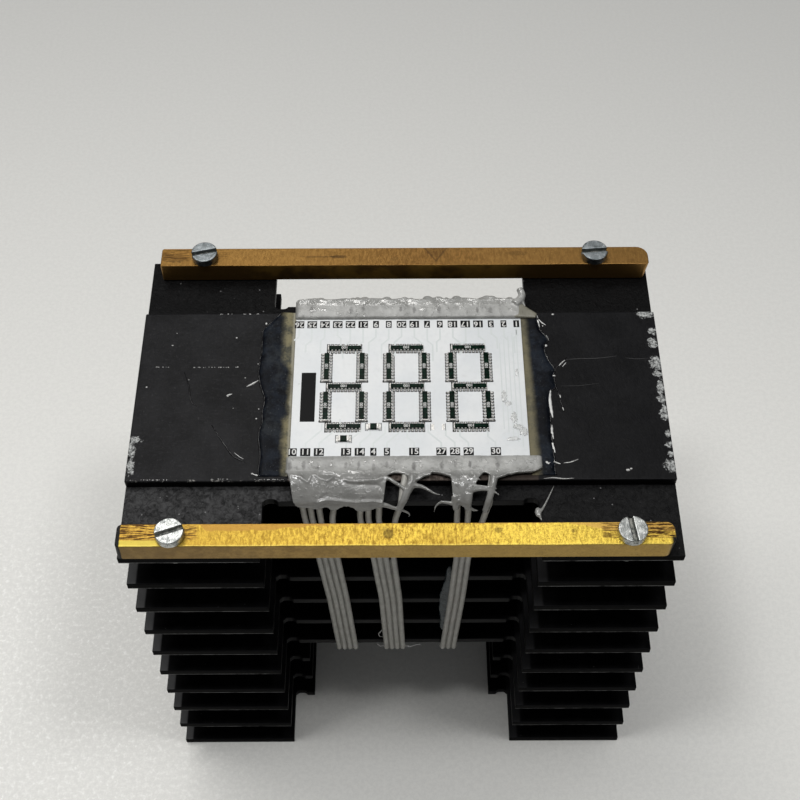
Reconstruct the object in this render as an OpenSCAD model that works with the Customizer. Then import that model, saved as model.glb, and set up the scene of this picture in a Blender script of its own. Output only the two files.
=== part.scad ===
// Three-digit segment display board, potted on a double-sided finned heat-sink block.
// The block stands on its bottom fin: origin at the centre of that fin's underside,
// +Z up, +X to the right of the digits, front at -Y.

/* [Finned block] */
// Width of the block across both legs
block_w = 101.8; // [85:0.1:125]
// Depth of the two legs, front to back
block_d = 68.8; // [56:0.1:84]
// Width of the set-back web between the legs
web_w = 50.8; // [43:0.1:61]
// Depth of the recess in front of and behind the web
recess_d = 11.6; // [9:0.1:14]
// Number of fins, counted from the floor
fin_count = 10; // [7:1:12]
// Height from one fin to the next
fin_pitch = 10.16; // [8.4:0.01:12.2]
// Thickness of one fin
fin_t = 1.85; // [1.5:0.05:2.3]
// Width of the upright spine that joins the fins
spine_w = 84; // [76:1:85]
// Thickness of the spine
spine_t = 18; // [14:0.5:22]
// Width of the arch cut through the lowest fins
arch_w = 41.8; // [34:0.1:42.8]
// Number of fins that the arch cuts through
arch_fins = 3; // [2:1:4]
// Radius of the round cutter reliefs at the corners of the recesses
relief_r = 1.05; // [0.8:0.05:1.05]
// Distance of a relief's first centre from the recess's side
relief_in = 1.1; // [1.1:0.05:1.4]
// Distance from a relief's first centre to its second
relief_spread = 0.7; // [0.3:0.05:1]
// Depth that a relief cuts into the web
relief_cut = 0.55; // [0.4:0.05:0.7]

/* [Slab and potting] */
// Thickness of the black slab on the top fin
slab_t = 2; // [1.9:0.1:2.4]
// Ledge of bare fin left in front of and behind the slab
ledge_d = 3.2; // [2.6:0.1:3.9]
// Wall of slab left in front of the board
slab_lip = 1.5; // [1.2:0.1:1.8]
// Width of the potting to the left of the board
potting_left_w = 6.8; // [5.5:0.1:8.2]
// Width of the potting to the right of the board
potting_right_w = 5.1; // [4.2:0.1:6.2]
// Height of the potting's rounded back above the slab
potting_rise = 0.4; // [0.3:0.1:0.6]

/* [Display board] */
// Width of the board
board_w = 44.8; // [42:0.1:54]
// Thickness of the board
board_t = 1.6; // [1.4:0.1:1.8]
// Offset of the board's middle to the right of the block's middle
board_shift = 1.7; // [0:0.1:2.5]
// Bare web left behind the board
board_rear_gap = 1.7; // [1.4:0.1:2]
// Clearance between the board and the slab's lip
board_clearance = 0.2; // [0.1:0.05:0.4]

/* [Digits] */
// Distance between two digits
digit_pitch = 12.1; // [11.2:0.1:13.5]
// Offset of the middle digit from the board's middle
digit_shift = -0.45; // [-1:0.05:1]
// Depth position of the digits' middle bars, from the board's middle
digit_y = -0.25; // [-1.5:0.05:1.5]
// Distance from the middle bar to the top or bottom bar
bar_rise = 9.2; // [8.9:0.1:11]
// Distance from a digit's middle to its upright bars
bar_side = 3.45; // [3.3:0.05:3.8]
// Length of one segment package
seg_len = 6.7; // [5.6:0.1:7]
// Width of a segment package's body
seg_body_w = 1.15; // [0.95:0.05:1.35]
// Height of a segment package
seg_h = 0.55; // [0.45:0.05:0.65]
// Number of terminals along each side of a segment package
seg_pins = 10; // [8:1:12]
// Width of one terminal
pin_w = 0.36; // [0.3:0.02:0.4]
// Width over the terminals of both sides
pin_span = 2.1; // [1.8:0.05:2.3]
// Height of a terminal
pin_h = 0.3; // [0.25:0.05:0.4]

/* [Small chips] */
// Length of a small chip
chip_len = 2; // [1.6:0.1:2.4]
// Width of a small chip
chip_w = 1.25; // [1:0.05:1.5]
// Height of a small chip
chip_h = 0.5; // [0.4:0.05:0.6]

/* [Silicone] */
// Height of the silicone beads above the board
bead_h = 2.1; // [2:0.1:2.4]
// Depth of board that each bead covers
bead_cover = 3.2; // [2.7:0.1:3.8]
// Reach of the front bead past the left side of the board
bead_left = 0.3; // [0.2:0.1:0.5]
// Reach of the front bead past the right side of the board
bead_right = 2.4; // [1.9:0.1:2.9]

/* [Wires] */
// Diameter of one wire
wire_d = 1.16; // [0.96:0.01:1.16]
// Clearance around the wires
wire_clearance = 0.07; // [0.05:0.01:0.1]
// Length of wire that runs back under the arch
wire_tail = 11; // [9:0.5:13]

/* [Clamp bars and screws] */
// Length of a clamp bar
bar_len = 99.3; // [92:0.1:99.6]
// Depth of a clamp bar
bar_d = 4.6; // [4.4:0.1:5.5]
// Height of a clamp bar
bar_h = 4.8; // [4.1:0.1:5.9]
// Edge chamfer of a clamp bar
bar_chamfer = 0.2; // [0.15:0.05:0.5]
// Radius of a clamp bar's corners, seen from above
bar_corner = 1.2; // [0.5:0.1:1.8]
// Shift of the front bar to the left, and of the rear bar to the right
bar_shift = 1.05; // [0:0.05:1.1]
// Overhang of the front bar past the block's front edge
front_overhang = 0.2; // [0:0.1:0.4]
// Set-back of the rear bar from the block's rear edge
rear_inset = 0.15; // [0:0.05:1]
// Distance of the front screws from the block's middle
front_screw_x = 40.85; // [34:0.05:44]
// Distance of the rear screws from the block's middle
rear_screw_x = 39.65; // [34:0.05:44]
// Diameter of a screw's shank
screw_d = 3; // [2.5:0.5:3]
// Length of a screw under its head
screw_len = 8; // [7.5:0.5:9.5]
// Diameter of a screw's head
head_d = 5.25; // [5:0.05:6]
// Height of a screw's head
head_h = 1.7; // [1.6:0.1:2.2]
// Width of a screw's slot
slot_w = 0.8; // [0.6:0.1:1]
// Depth of a screw's slot
slot_h = 0.9; // [0.7:0.1:1.1]
// Clearance of a screw in a bar's hole
bar_hole_clearance = 0.2; // [0.15:0.05:0.3]
// Clearance of a screw in its tapped hole
tap_clearance = 0.03; // [0.02:0.01:0.05]

/* [Hidden] */
$fn = 48;
cut = 1;

// Heights of the block's main levels.
arch_top = arch_fins * fin_pitch;
fin_top = (fin_count - 1) * fin_pitch + fin_t;
slab_top = fin_top + slab_t;
bar_top = fin_top + bar_h;

// Depths, front to back.
leg_front = -block_d / 2;
web_front = leg_front + recess_d;
slab_front = web_front + ledge_d;
window_front = slab_front + slab_lip;
board_front = window_front + board_clearance;
board_rear = -web_front - board_rear_gap;
board_d = board_rear - board_front;
board_y = (board_front + board_rear) / 2;

// Sides of the board and of the potting around it.
board_left = board_shift - board_w / 2;
board_right = board_shift + board_w / 2;
window_left = board_left - potting_left_w;
window_right = board_right + potting_right_w;

// A wire's centre line is this far from the surfaces that it lies on.
wire_off = wire_d / 2 + wire_clearance;

// Each segment as [letter, steps to the right, steps up, turned upright].
SEGMENTS = [
    ["a", 0, 2, false], ["b", 1, 1, true], ["c", 1, -1, true], ["d", 0, -2, false],
    ["e", -1, -1, true], ["f", -1, 1, true], ["g", 0, 0, false]
];
DIGITS = [0 : 2];

// Each wire's distance to the right of the middle, at the heights in WIRE_HEIGHTS.
WIRE_HEIGHTS = [1.06, 1, 0.9, 0.68, 0.38, 0];
RIBBONS = [
    ["left", [
        [-19.9, -18.1, -17.8, -16.3, -15.2, -13.8],
        [-17.8, -16.7, -16.45, -15.1, -14, -12.6],
        [-15.2, -15.1, -14.9, -13.9, -12.8, -11.4],
        [-12.4, -12.3, -12.8, -12.7, -11.6, -10.2]]],
    ["middle", [
        [-7.6, -7.5, -7.5, -5.5, -4.3, -3.3],
        [-5.7, -6, -6, -4.3, -3.1, -2.1],
        [-3.4, -4, -4.1, -3.1, -1.9, -0.9],
        [1, 0, -1.1, -1.7, -0.7, 0.3]]],
    ["right", [
        [10.2, 10.4, 10.5, 10.9, 10.3, 9.2],
        [12.6, 12.4, 12.5, 12.1, 11.5, 10.4],
        [16.9, 16.2, 15.3, 13.3, 12.7, 11.6]]]
];

// Sheets of silicone that hang over the ledge, as [left side, right side].
DRAPES = [[-20.8, -3], [-0.9, 3.4], [9.2, 14.1], [15.2, 18.2]];

// Both clamp bars as [name, direction of its shift, y].
BARS = [
    ["front", -1, leg_front - front_overhang + bar_d / 2],
    ["rear", 1, -leg_front - rear_inset - bar_d / 2]
];

// Every screw as [name, x, y, turn of its slot].
SCREWS = [
    ["front_left", -front_screw_x, BARS[0][2], 20],
    ["front_right", front_screw_x, BARS[0][2], 97],
    ["rear_left", -rear_screw_x, BARS[1][2], 13],
    ["rear_right", rear_screw_x, BARS[1][2], 4]
];

function segment_name(d, s) = str("digit_", d + 1, "_segment_", s[0]);
function ribbon_name(r) = str(r[0], "_ribbon");
function tail_glue_name(r) = str(r[0], "_tail_glue");
function bar_name(b) = str(b[0], "_clamp_bar");
function screw_name(s) = str(s[0], "_screw");

// A box between two corners.
module box(low, high) {
    translate(low) cube(high - low);
}

// A profile drawn in depth and height, drawn out from one side to the other.
module across(left, right) {
    translate([left, 0, 0]) rotate([90, 0, 90]) linear_extrude(right - left) children();
}

// ---- Finned block ----

// Rounded pocket at a corner of a recess, drawn from its first centre towards the middle.
module relief(inward) {
    for (shift = [0, relief_spread]) translate([inward * shift, 0]) circle(relief_r);
    translate([inward * relief_spread / 2, 0]) square([relief_spread, 2 * relief_r], center = true);
}

// Outline of one fin: two legs, the web between them and the four cutter reliefs.
module fin_outline() {
    difference() {
        square([block_w, block_d], center = true);
        for (side = [-1, 1])
            translate([0, side * (block_d - recess_d) / 2])
                square([web_w, recess_d], center = true);
        for (x = [-1, 1], y = [-1, 1])
            translate([x * (web_w / 2 - relief_in), y * (-web_front + relief_r - relief_cut)])
                relief(-x);
    }
}

module finned_block() {
    color([0.05, 0.05, 0.06]) difference() {
        union() {
            for (k = [0 : fin_count - 1])
                translate([0, 0, k * fin_pitch]) linear_extrude(fin_t) fin_outline();
            box([-spine_w / 2, -spine_t / 2, 0], [spine_w / 2, spine_t / 2, fin_top]);
        }
        box([-arch_w / 2, -block_d, -cut], [arch_w / 2, block_d, arch_top]);
        for (s = SCREWS)
            translate([s[1], s[2], fin_top - fin_pitch / 2])
                cylinder(h = fin_pitch, r = screw_d / 2 + tap_clearance);
    }
}

// ---- Slab, potting and board ----

module top_slab() {
    color([0.08, 0.08, 0.09]) difference() {
        box([-block_w / 2, slab_front, fin_top], [block_w / 2, -slab_front, slab_top]);
        box([window_left, window_front, fin_top - cut], [window_right, -slab_front + cut, slab_top + cut]);
    }
}

// The compound fills the slab's window beside the board, and a thin bed under it.
module potting() {
    color([0.06, 0.07, 0.1]) {
        box([window_left, window_front, fin_top], [window_right, -slab_front, slab_top - board_t]);
        potting_sides(slab_top - board_t);
    }
}

// The two raised strips beside the board, from a given height up.
module potting_sides(low) {
    top = slab_top + potting_rise;
    box([window_left, window_front, low], [board_left, -slab_front, top]);
    box([board_right, window_front, low], [window_right, -slab_front, top]);
}

module display_board() {
    color([0.9, 0.91, 0.93])
        box([board_left, board_front, slab_top - board_t], [board_right, board_rear, slab_top]);
}

// ---- Components on the board ----

// A flat package with a row of terminals along both long sides.
module segment_package() {
    pin_pitch = (seg_len - pin_w) / (seg_pins - 1);
    translate([-seg_len / 2, -seg_body_w / 2, 0]) cube([seg_len, seg_body_w, seg_h]);
    for (i = [0 : seg_pins - 1])
        translate([-seg_len / 2 + i * pin_pitch, -pin_span / 2, 0]) cube([pin_w, pin_span, pin_h]);
}

module segment(d, s) {
    x = board_shift + digit_shift + (d - 1) * digit_pitch + s[1] * bar_side;
    y = board_y + digit_y + s[2] * bar_rise / 2;
    color([0.05, 0.16, 0.1])
        translate([x, y, slab_top]) rotate(s[3] ? 90 : 0) segment_package();
}

module chip(x, y) {
    color([0.1, 0.2, 0.14])
        translate([board_shift + x, board_y + y, slab_top + chip_h / 2])
            cube([chip_len, chip_w, chip_h], center = true);
}

// The chip between the first two digits, and the one below the first digit.
module upper_chip() chip(-6.8, -9.4);
module lower_chip() chip(-12.4, -12.1);

// ---- Silicone ----

// Rounded bead over the board's front edge and the slab's lip.
module bead_profile() {
    polygon([
        [board_front + bead_cover, slab_top], [board_front + bead_cover - 0.2, slab_top + 0.5 * bead_h],
        [board_front + bead_cover - 1.2, slab_top + 0.9 * bead_h], [board_front + 0.4, slab_top + bead_h],
        [slab_front + 0.3, slab_top + 0.95 * bead_h], [slab_front - 0.5, slab_top + 0.5 * bead_h],
        [slab_front - 0.6, slab_top - 0.4], [slab_front, slab_top - 0.5], [slab_front, slab_top]
    ]);
}

// The same bead where it also sags over the ledge and the top fin's edge.
module drape_profile() {
    polygon([
        [board_front + bead_cover, slab_top], [board_front + bead_cover - 0.2, slab_top + 0.5 * bead_h],
        [board_front + bead_cover - 1.2, slab_top + 0.9 * bead_h], [board_front + 0.4, slab_top + bead_h],
        [slab_front + 0.2, slab_top + bead_h], [slab_front - 2.3, slab_top + 0.7 * bead_h],
        [web_front - 1.1, slab_top + 0.1], [web_front - 1.9, fin_top + 0.6],
        [web_front - 1.9, fin_top], [slab_front, fin_top], [slab_front, slab_top]
    ]);
}

// Room for the wires where they bend down over the ledge.
module channel_profile() {
    polygon([
        [board_front + bead_cover / 2 + 0.3, slab_top], [board_front + bead_cover / 2 + 0.3, slab_top + 1.45],
        [slab_front + 0.1, slab_top + 1.5], [slab_front - 2.05, slab_top + 0.9],
        [web_front - 0.5, slab_top - 0.3], [web_front - 1.4, fin_top + 0.3],
        [web_front - 1.4, fin_top - cut], [web_front + 0.3, fin_top - cut],
        [web_front + 0.3, fin_top - 0.1], [slab_front - 1.2, slab_top - 0.55], [slab_front, slab_top - 0.1]
    ]);
}

module front_silicone() {
    side = wire_off + 0.15;
    color([0.72, 0.73, 0.73, 0.8]) difference() {
        union() {
            across(board_left - bead_left, board_right + bead_right) bead_profile();
            for (drape = DRAPES) across(drape[0], drape[1]) drape_profile();
        }
        for (r = RIBBONS, w = r[1])
            across(min(w[0], w[1]) - side, max(w[0], w[1]) + side) channel_profile();
        potting_sides(slab_top - cut);
        lower_chip();
    }
}

// Bead that wraps the board's rear edge and hangs a little over the web's edge.
module rear_silicone() {
    overhang = 0.6;
    color([0.72, 0.73, 0.73, 0.8]) difference() {
        across(board_left + 0.6, board_right + 0.4) polygon([
            [board_rear - bead_cover, slab_top], [board_rear - bead_cover + 0.3, slab_top + 0.6 * bead_h],
            [board_rear - 1.6, slab_top + 0.8 * bead_h], [board_rear + 0.2, slab_top + 0.7 * bead_h],
            [-web_front + overhang, slab_top - 0.2], [-web_front + overhang, fin_top - 0.5],
            [-web_front, fin_top - 0.5], [-web_front, fin_top], [board_rear, fin_top], [board_rear, slab_top]
        ]);
        potting_sides(slab_top - cut);
    }
}

// ---- Wires ----

// Centre line of a wire in depth and height: from its pad over the ledge, down the web and under the arch.
// The third number is the share of the web's height that picks its place from side to side.
function wire_route() = let (
    face = web_front - wire_off,
    level = function (t) arch_top + t * (fin_top - arch_top),
    under = arch_top - wire_off
) concat(
    [[board_front + bead_cover / 2, slab_top + wire_off, 1.06], [slab_front - 0.2, slab_top + wire_off, 1.04],
     [slab_front - 1.6, slab_top + 0.15, 1.02], [web_front + 0.1, slab_top - 0.75, 1.01],
     [face - 0.02, fin_top + 0.1, 1]],
    [for (t = [0.97, 0.9, 0.79, 0.68, 0.53, 0.38, 0.19, 0.03]) [face, level(t), t]],
    [[web_front - 0.8, arch_top - 0.2, 0], [web_front - 0.2, arch_top - 0.8, 0], [web_front + 1.2, under, 0],
     [web_front + wire_tail, under, 0]]
);

// Tube with eight sides along a list of points; every ring stands square to the route.
module tube(points, d) {
    sides = 8;
    last = len(points) - 1;
    rings = [for (i = [0 : last])
        let (
            before = points[max(i - 1, 0)],
            after = points[min(i + 1, last)],
            step = after - before,
            along = norm([step[1], step[2]]),
            out = [0, step[2], -step[1]] / along
        )
        for (k = [0 : sides - 1])
            let (a = (k + 0.5) * 360 / sides)
                points[i] + d / 2 / cos(180 / sides) * (cos(a) * [1, 0, 0] + sin(a) * out)];
    walls = [for (i = [0 : last - 1], k = [0 : sides - 1])
        [i * sides + k, i * sides + (k + 1) % sides, (i + 1) * sides + (k + 1) % sides, (i + 1) * sides + k]];
    start = [for (k = [sides - 1 : -1 : 0]) k];
    end = [for (k = [0 : sides - 1]) last * sides + k];
    polyhedron(rings, concat(walls, [start], [end]));
}

function wire_points(w) = let (place = [for (i = [5 : -1 : 0]) [WIRE_HEIGHTS[i], w[i]]])
    [for (p = wire_route()) [lookup(p[2], place), p[0], p[1]]];

module ribbon(r) {
    color([0.72, 0.72, 0.72]) for (w = r[1]) tube(wire_points(w), wire_d);
}

// Strap of glue that holds a ribbon's tail against the fin above the arch.
module tail_glue(r) {
    wires = r[1];
    left = wires[0][5] - wire_off;
    right = wires[len(wires) - 1][5] + wire_off;
    front = web_front + wire_tail - 3;
    color([0.75, 0.74, 0.7]) difference() {
        box([left - 1.2, front, arch_top - 2 * wire_off - 0.6], [right + 1.2, front + 2.4, arch_top]);
        box([left, front - cut, arch_top - 2 * wire_off], [right, front + 2.4 + cut, arch_top + cut]);
    }
}

// Smear of glue down the web beside the right-hand ribbon.
module ribbon_glue() {
    width = 1.7;
    x = RIBBONS[2][1][0][5] - wire_off - 0.2 - width / 2;
    low = arch_top + 4;
    high = arch_top + 0.62 * (fin_top - arch_top);
    color([0.75, 0.74, 0.7]) translate([x, web_front, 0]) rotate([90, 0, 0]) linear_extrude(0.5) {
        translate([-width / 2, low + width / 2]) square([width, high - low - width]);
        for (z = [low + width / 2, high - width / 2]) translate([0, z]) circle(width / 2);
    }
}

// ---- Clamp bars and screws ----

// Outline of a clamp bar from above, with rounded corners.
module bar_outline() {
    square([bar_len - 2 * bar_corner, bar_d], center = true);
    square([bar_len, bar_d - 2 * bar_corner], center = true);
    for (x = [-1, 1], y = [-1, 1])
        translate([x * (bar_len / 2 - bar_corner), y * (bar_d / 2 - bar_corner)]) circle(bar_corner);
}

module clamp_bar(b) {
    color([0.78, 0.55, 0.24]) difference() {
        translate([b[1] * bar_shift, b[2], fin_top]) intersection() {
            linear_extrude(bar_h) bar_outline();
            across(-bar_len, bar_len) polygon([
                [-bar_d / 2, 0], [bar_d / 2, 0],
                [bar_d / 2, bar_h - bar_chamfer], [bar_d / 2 - bar_chamfer, bar_h],
                [-bar_d / 2 + bar_chamfer, bar_h], [-bar_d / 2, bar_h - bar_chamfer]
            ]);
        }
        for (s = SCREWS)
            if (s[2] == b[2])
                translate([s[1], s[2], fin_top - cut])
                    cylinder(h = bar_h + 2 * cut, r = screw_d / 2 + bar_hole_clearance);
    }
}

// Slotted cheese-head screw; its shank passes the bar and ends under the top fin.
module screw(s) {
    color([0.7, 0.71, 0.72]) translate([s[1], s[2], bar_top]) difference() {
        union() {
            translate([0, 0, -screw_len]) cylinder(h = screw_len + head_h / 2, r = screw_d / 2);
            cylinder(h = head_h, r = head_d / 2);
        }
        rotate(s[3]) translate([-head_d, -slot_w / 2, head_h - slot_h]) cube([2 * head_d, slot_w, head_h]);
    }
}

finned_block();
top_slab();
potting();
display_board();
for (d = DIGITS, s = SEGMENTS) segment(d, s);
upper_chip();
lower_chip();
front_silicone();
rear_silicone();
for (r = RIBBONS) ribbon(r);
for (r = RIBBONS) tail_glue(r);
ribbon_glue();
for (b = BARS) clamp_bar(b);
for (s = SCREWS) screw(s);
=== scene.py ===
"""Looks of a segment display on a finned heat-sink block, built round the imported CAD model.

Lengths are written in millimetres and turned into Blender's metres by MM. The row frame has its
origin under the middle of the bottom fin, +Z up, and the front with the ribbon wires at -Y.
"""
import math
import random

import bmesh
import bpy
from mathutils import Matrix, Vector, noise


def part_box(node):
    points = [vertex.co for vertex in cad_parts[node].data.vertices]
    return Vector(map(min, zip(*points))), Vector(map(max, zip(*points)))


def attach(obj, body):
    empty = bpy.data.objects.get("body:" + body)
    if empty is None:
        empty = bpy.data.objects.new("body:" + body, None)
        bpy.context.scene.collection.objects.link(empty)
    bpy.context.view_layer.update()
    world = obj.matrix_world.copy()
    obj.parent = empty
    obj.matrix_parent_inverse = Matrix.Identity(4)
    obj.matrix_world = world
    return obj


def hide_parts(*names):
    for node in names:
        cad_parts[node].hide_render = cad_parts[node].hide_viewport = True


MM = 0.001
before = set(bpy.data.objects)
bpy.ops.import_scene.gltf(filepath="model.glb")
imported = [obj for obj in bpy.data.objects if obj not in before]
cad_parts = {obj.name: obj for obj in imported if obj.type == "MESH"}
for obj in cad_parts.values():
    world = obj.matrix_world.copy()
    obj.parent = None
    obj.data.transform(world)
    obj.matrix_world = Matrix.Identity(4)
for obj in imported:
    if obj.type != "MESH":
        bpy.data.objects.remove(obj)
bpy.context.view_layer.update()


# ---- sizes from the frame

def box_mm(node):
    """Lowest and highest corner of a CAD node, in millimetres."""
    low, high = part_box(node)
    return low / MM, high / MM


def middle_mm(node):
    """Middle of a CAD node's box, in millimetres."""
    low, high = box_mm(node)
    return (low + high) / 2


BLOCK_LOW, BLOCK_HIGH = box_mm("finned_block")
SLAB_LOW, SLAB_HIGH = box_mm("top_slab")
BOARD_LOW, BOARD_HIGH = box_mm("display_board")
FRONT_BAR = box_mm("front_clamp_bar")
REAR_BAR = box_mm("rear_clamp_bar")

FIN_TOP = BLOCK_HIGH.z
SLAB_TOP = SLAB_HIGH.z
SLAB_FRONT, SLAB_REAR = SLAB_LOW.y, SLAB_HIGH.y
LEDGE = 3.2
WEB_FRONT, WEB_REAR = SLAB_FRONT - LEDGE, SLAB_REAR + LEDGE
WEB_HALF = 25.4
BLOCK_LEFT = BLOCK_LOW.x
INNER_RIGHT = WEB_HALF + 0.1
FIN_PITCH = 10.16
ARCH_TOP = 3 * FIN_PITCH
BOARD_MID = middle_mm("display_board")
PAD_PITCH = 2.54
# First pad of the front row, how far the rear row is shifted, and the front places that have a joint.
PAD_X0 = BOARD_LOW.x + 0.38
REAR_SHIFT = 0.32
PAD_COUNT = 18
USED_PADS = [0, 1, 2, 4, 5, 6, 7, 9, 11, 12, 13, 15]
WIRE_R = 0.58
HEAD_HEIGHT = 1.7
FRONT_LEFT_HEAD = middle_mm("front_left_screw")


# ---- small helpers

def smooth_noise(*place, scale=1.0):
    """Fractal noise from about -1 to 1 at a place."""
    x, y, z = (list(place) + [0.0, 0.0])[:3]
    return noise.fractal(Vector((x, y, z)) * scale, 1.0, 2.0, 3)


def catmull(points, steps):
    """Points along a smooth curve through the given points, steps between each two."""
    pts = [Vector(p) for p in points]
    ends = [2 * pts[0] - pts[1]] + pts + [2 * pts[-1] - pts[-2]]
    out = []
    for a, b, c, d in zip(ends, ends[1:], ends[2:], ends[3:]):
        for i in range(steps):
            t = i / steps
            out.append(0.5 * (2 * b + (c - a) * t + (2 * a - 5 * b + 4 * c - d) * t**2
                              + (3 * b - a - 3 * c + d) * t**3))
    return out + [pts[-1]]


def lookup(x, table):
    """Straight-line interpolation in a list of (x, value) pairs with rising x."""
    if x <= table[0][0]:
        return table[0][1]
    for (x0, v0), (x1, v1) in zip(table, table[1:]):
        if x <= x1:
            return v0 + (v1 - v0) * (x - x0) / (x1 - x0)
    return table[-1][1]


def taper(start, end):
    """Straight change from start to end with the share travelled."""
    return lambda share: start + (end - start) * share


def obj_from_bmesh(name, bm, smooth=True):
    """Object at the origin from a bmesh in millimetres."""
    bmesh.ops.scale(bm, vec=(MM, MM, MM), verts=bm.verts)
    mesh = bpy.data.meshes.new(name)
    bm.to_mesh(mesh)
    bm.free()
    for face in mesh.polygons:
        face.use_smooth = smooth
    piece = bpy.data.objects.new(name, mesh)
    bpy.context.scene.collection.objects.link(piece)
    return piece


def place(piece, slot, *nodes):
    """Rides the object on the block, with the CAD nodes that it stands for hidden; the slot is not used."""
    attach(piece, "root")
    if nodes:
        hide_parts(*nodes)
    return piece


def add_tube(bm, points, radius, sides=8):
    """Tube along points in millimetres; radius is a number or a function of the share travelled."""
    rings = []
    side = Vector((1, 0, 0))
    for i, p in enumerate(points):
        before, after = points[max(i - 1, 0)], points[min(i + 1, len(points) - 1)]
        along = (after - before).normalized()
        if abs(along.dot(side)) > 0.95:
            side = Vector((0, 0, 1)) if abs(along.z) < 0.9 else Vector((0, 1, 0))
        out = along.cross(side).normalized()
        side = out.cross(along).normalized()
        r = radius(i / (len(points) - 1)) if callable(radius) else radius
        rings.append([bm.verts.new(p + r * (math.cos(a) * side + math.sin(a) * out))
                      for a in (math.tau * k / sides for k in range(sides))])
    for a, b in zip(rings, rings[1:]):
        for k in range(sides):
            bm.faces.new((a[k], a[(k + 1) % sides], b[(k + 1) % sides], b[k]))
    bm.faces.new(list(reversed(rings[0])))
    bm.faces.new(rings[-1])


def add_loft(bm, rings):
    """Closed skin over rings of equally many points, with both ends capped."""
    made = [[bm.verts.new(p) for p in ring] for ring in rings]
    n = len(made[0])
    for a, b in zip(made, made[1:]):
        for k in range(n):
            bm.faces.new((a[k], b[k], b[(k + 1) % n], a[(k + 1) % n]))
    bm.faces.new(list(reversed(made[0])))
    bm.faces.new(made[-1])
    bmesh.ops.recalc_face_normals(bm, faces=bm.faces)


def add_ball(bm, centre, stretch, radius=1.0, subdivisions=3):
    """A ball stretched along the three axes."""
    ball = bmesh.ops.create_icosphere(bm, subdivisions=subdivisions, radius=radius)["verts"]
    bmesh.ops.scale(bm, vec=stretch, verts=ball)
    bmesh.ops.translate(bm, vec=centre, verts=ball)


def number_faces(bm, first, material):
    """Gives a material number to the faces from the first on."""
    bm.faces.ensure_lookup_table()
    for face in bm.faces[first:]:
        face.material_index = material


def round_edges(bm, width, segments):
    """Rounds the edges where faces meet at more than 40 degrees."""
    edges = [e for e in bm.edges if e.is_manifold and e.calc_face_angle() > math.radians(40)]
    bmesh.ops.bevel(bm, geom=edges, offset=width, segments=segments, profile=0.5, affect="EDGES")


def cad_bmesh(node):
    """The CAD node's mesh in millimetres, with its flat faces whole again."""
    bm = bmesh.new()
    bm.from_mesh(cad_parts[node].data)
    bmesh.ops.scale(bm, vec=(1 / MM,) * 3, verts=bm.verts)
    bmesh.ops.remove_doubles(bm, verts=bm.verts, dist=0.002)
    bmesh.ops.dissolve_limit(bm, angle_limit=math.radians(0.5), verts=bm.verts, edges=bm.edges)
    return bm


def apply_all(piece):
    """Turns the piece's modifiers into its mesh."""
    graph = bpy.context.evaluated_depsgraph_get()
    mesh = bpy.data.meshes.new_from_object(piece.evaluated_get(graph))
    old = piece.data
    piece.modifiers.clear()
    piece.data = mesh
    bpy.data.meshes.remove(old)
    for face in mesh.polygons:
        face.use_smooth = True
    return piece


def finish_piece(name, bm, keys, slot, *nodes, smooth=True, voxel_mm=0.0):
    """Object from a bmesh, melted into one skin if asked, painted and placed."""
    piece = obj_from_bmesh(name, bm, smooth)
    if voxel_mm:
        melt(piece, voxel_mm)
    return place(paint(piece, *keys.split()), slot, *nodes)


# ---- node trees

def by_node(operation):
    """Method of a value that does its sum with a node."""
    return lambda *numbers: numbers[0].shader.math(operation, *numbers)


class Value:
    """A number worked out by nodes, usable with the ordinary signs of sums."""

    __abs__, __add__, __sub__ = by_node("ABSOLUTE"), by_node("ADD"), by_node("SUBTRACT")
    __mul__, __truediv__ = by_node("MULTIPLY"), by_node("DIVIDE")
    __mod__, __pow__ = by_node("MODULO"), by_node("POWER")

    def __init__(self, shader, socket):
        self.shader, self.socket = shader, socket

    def __rsub__(self, other):
        """A plain number less this one."""
        return self.shader.math("SUBTRACT", other, self)


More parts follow.
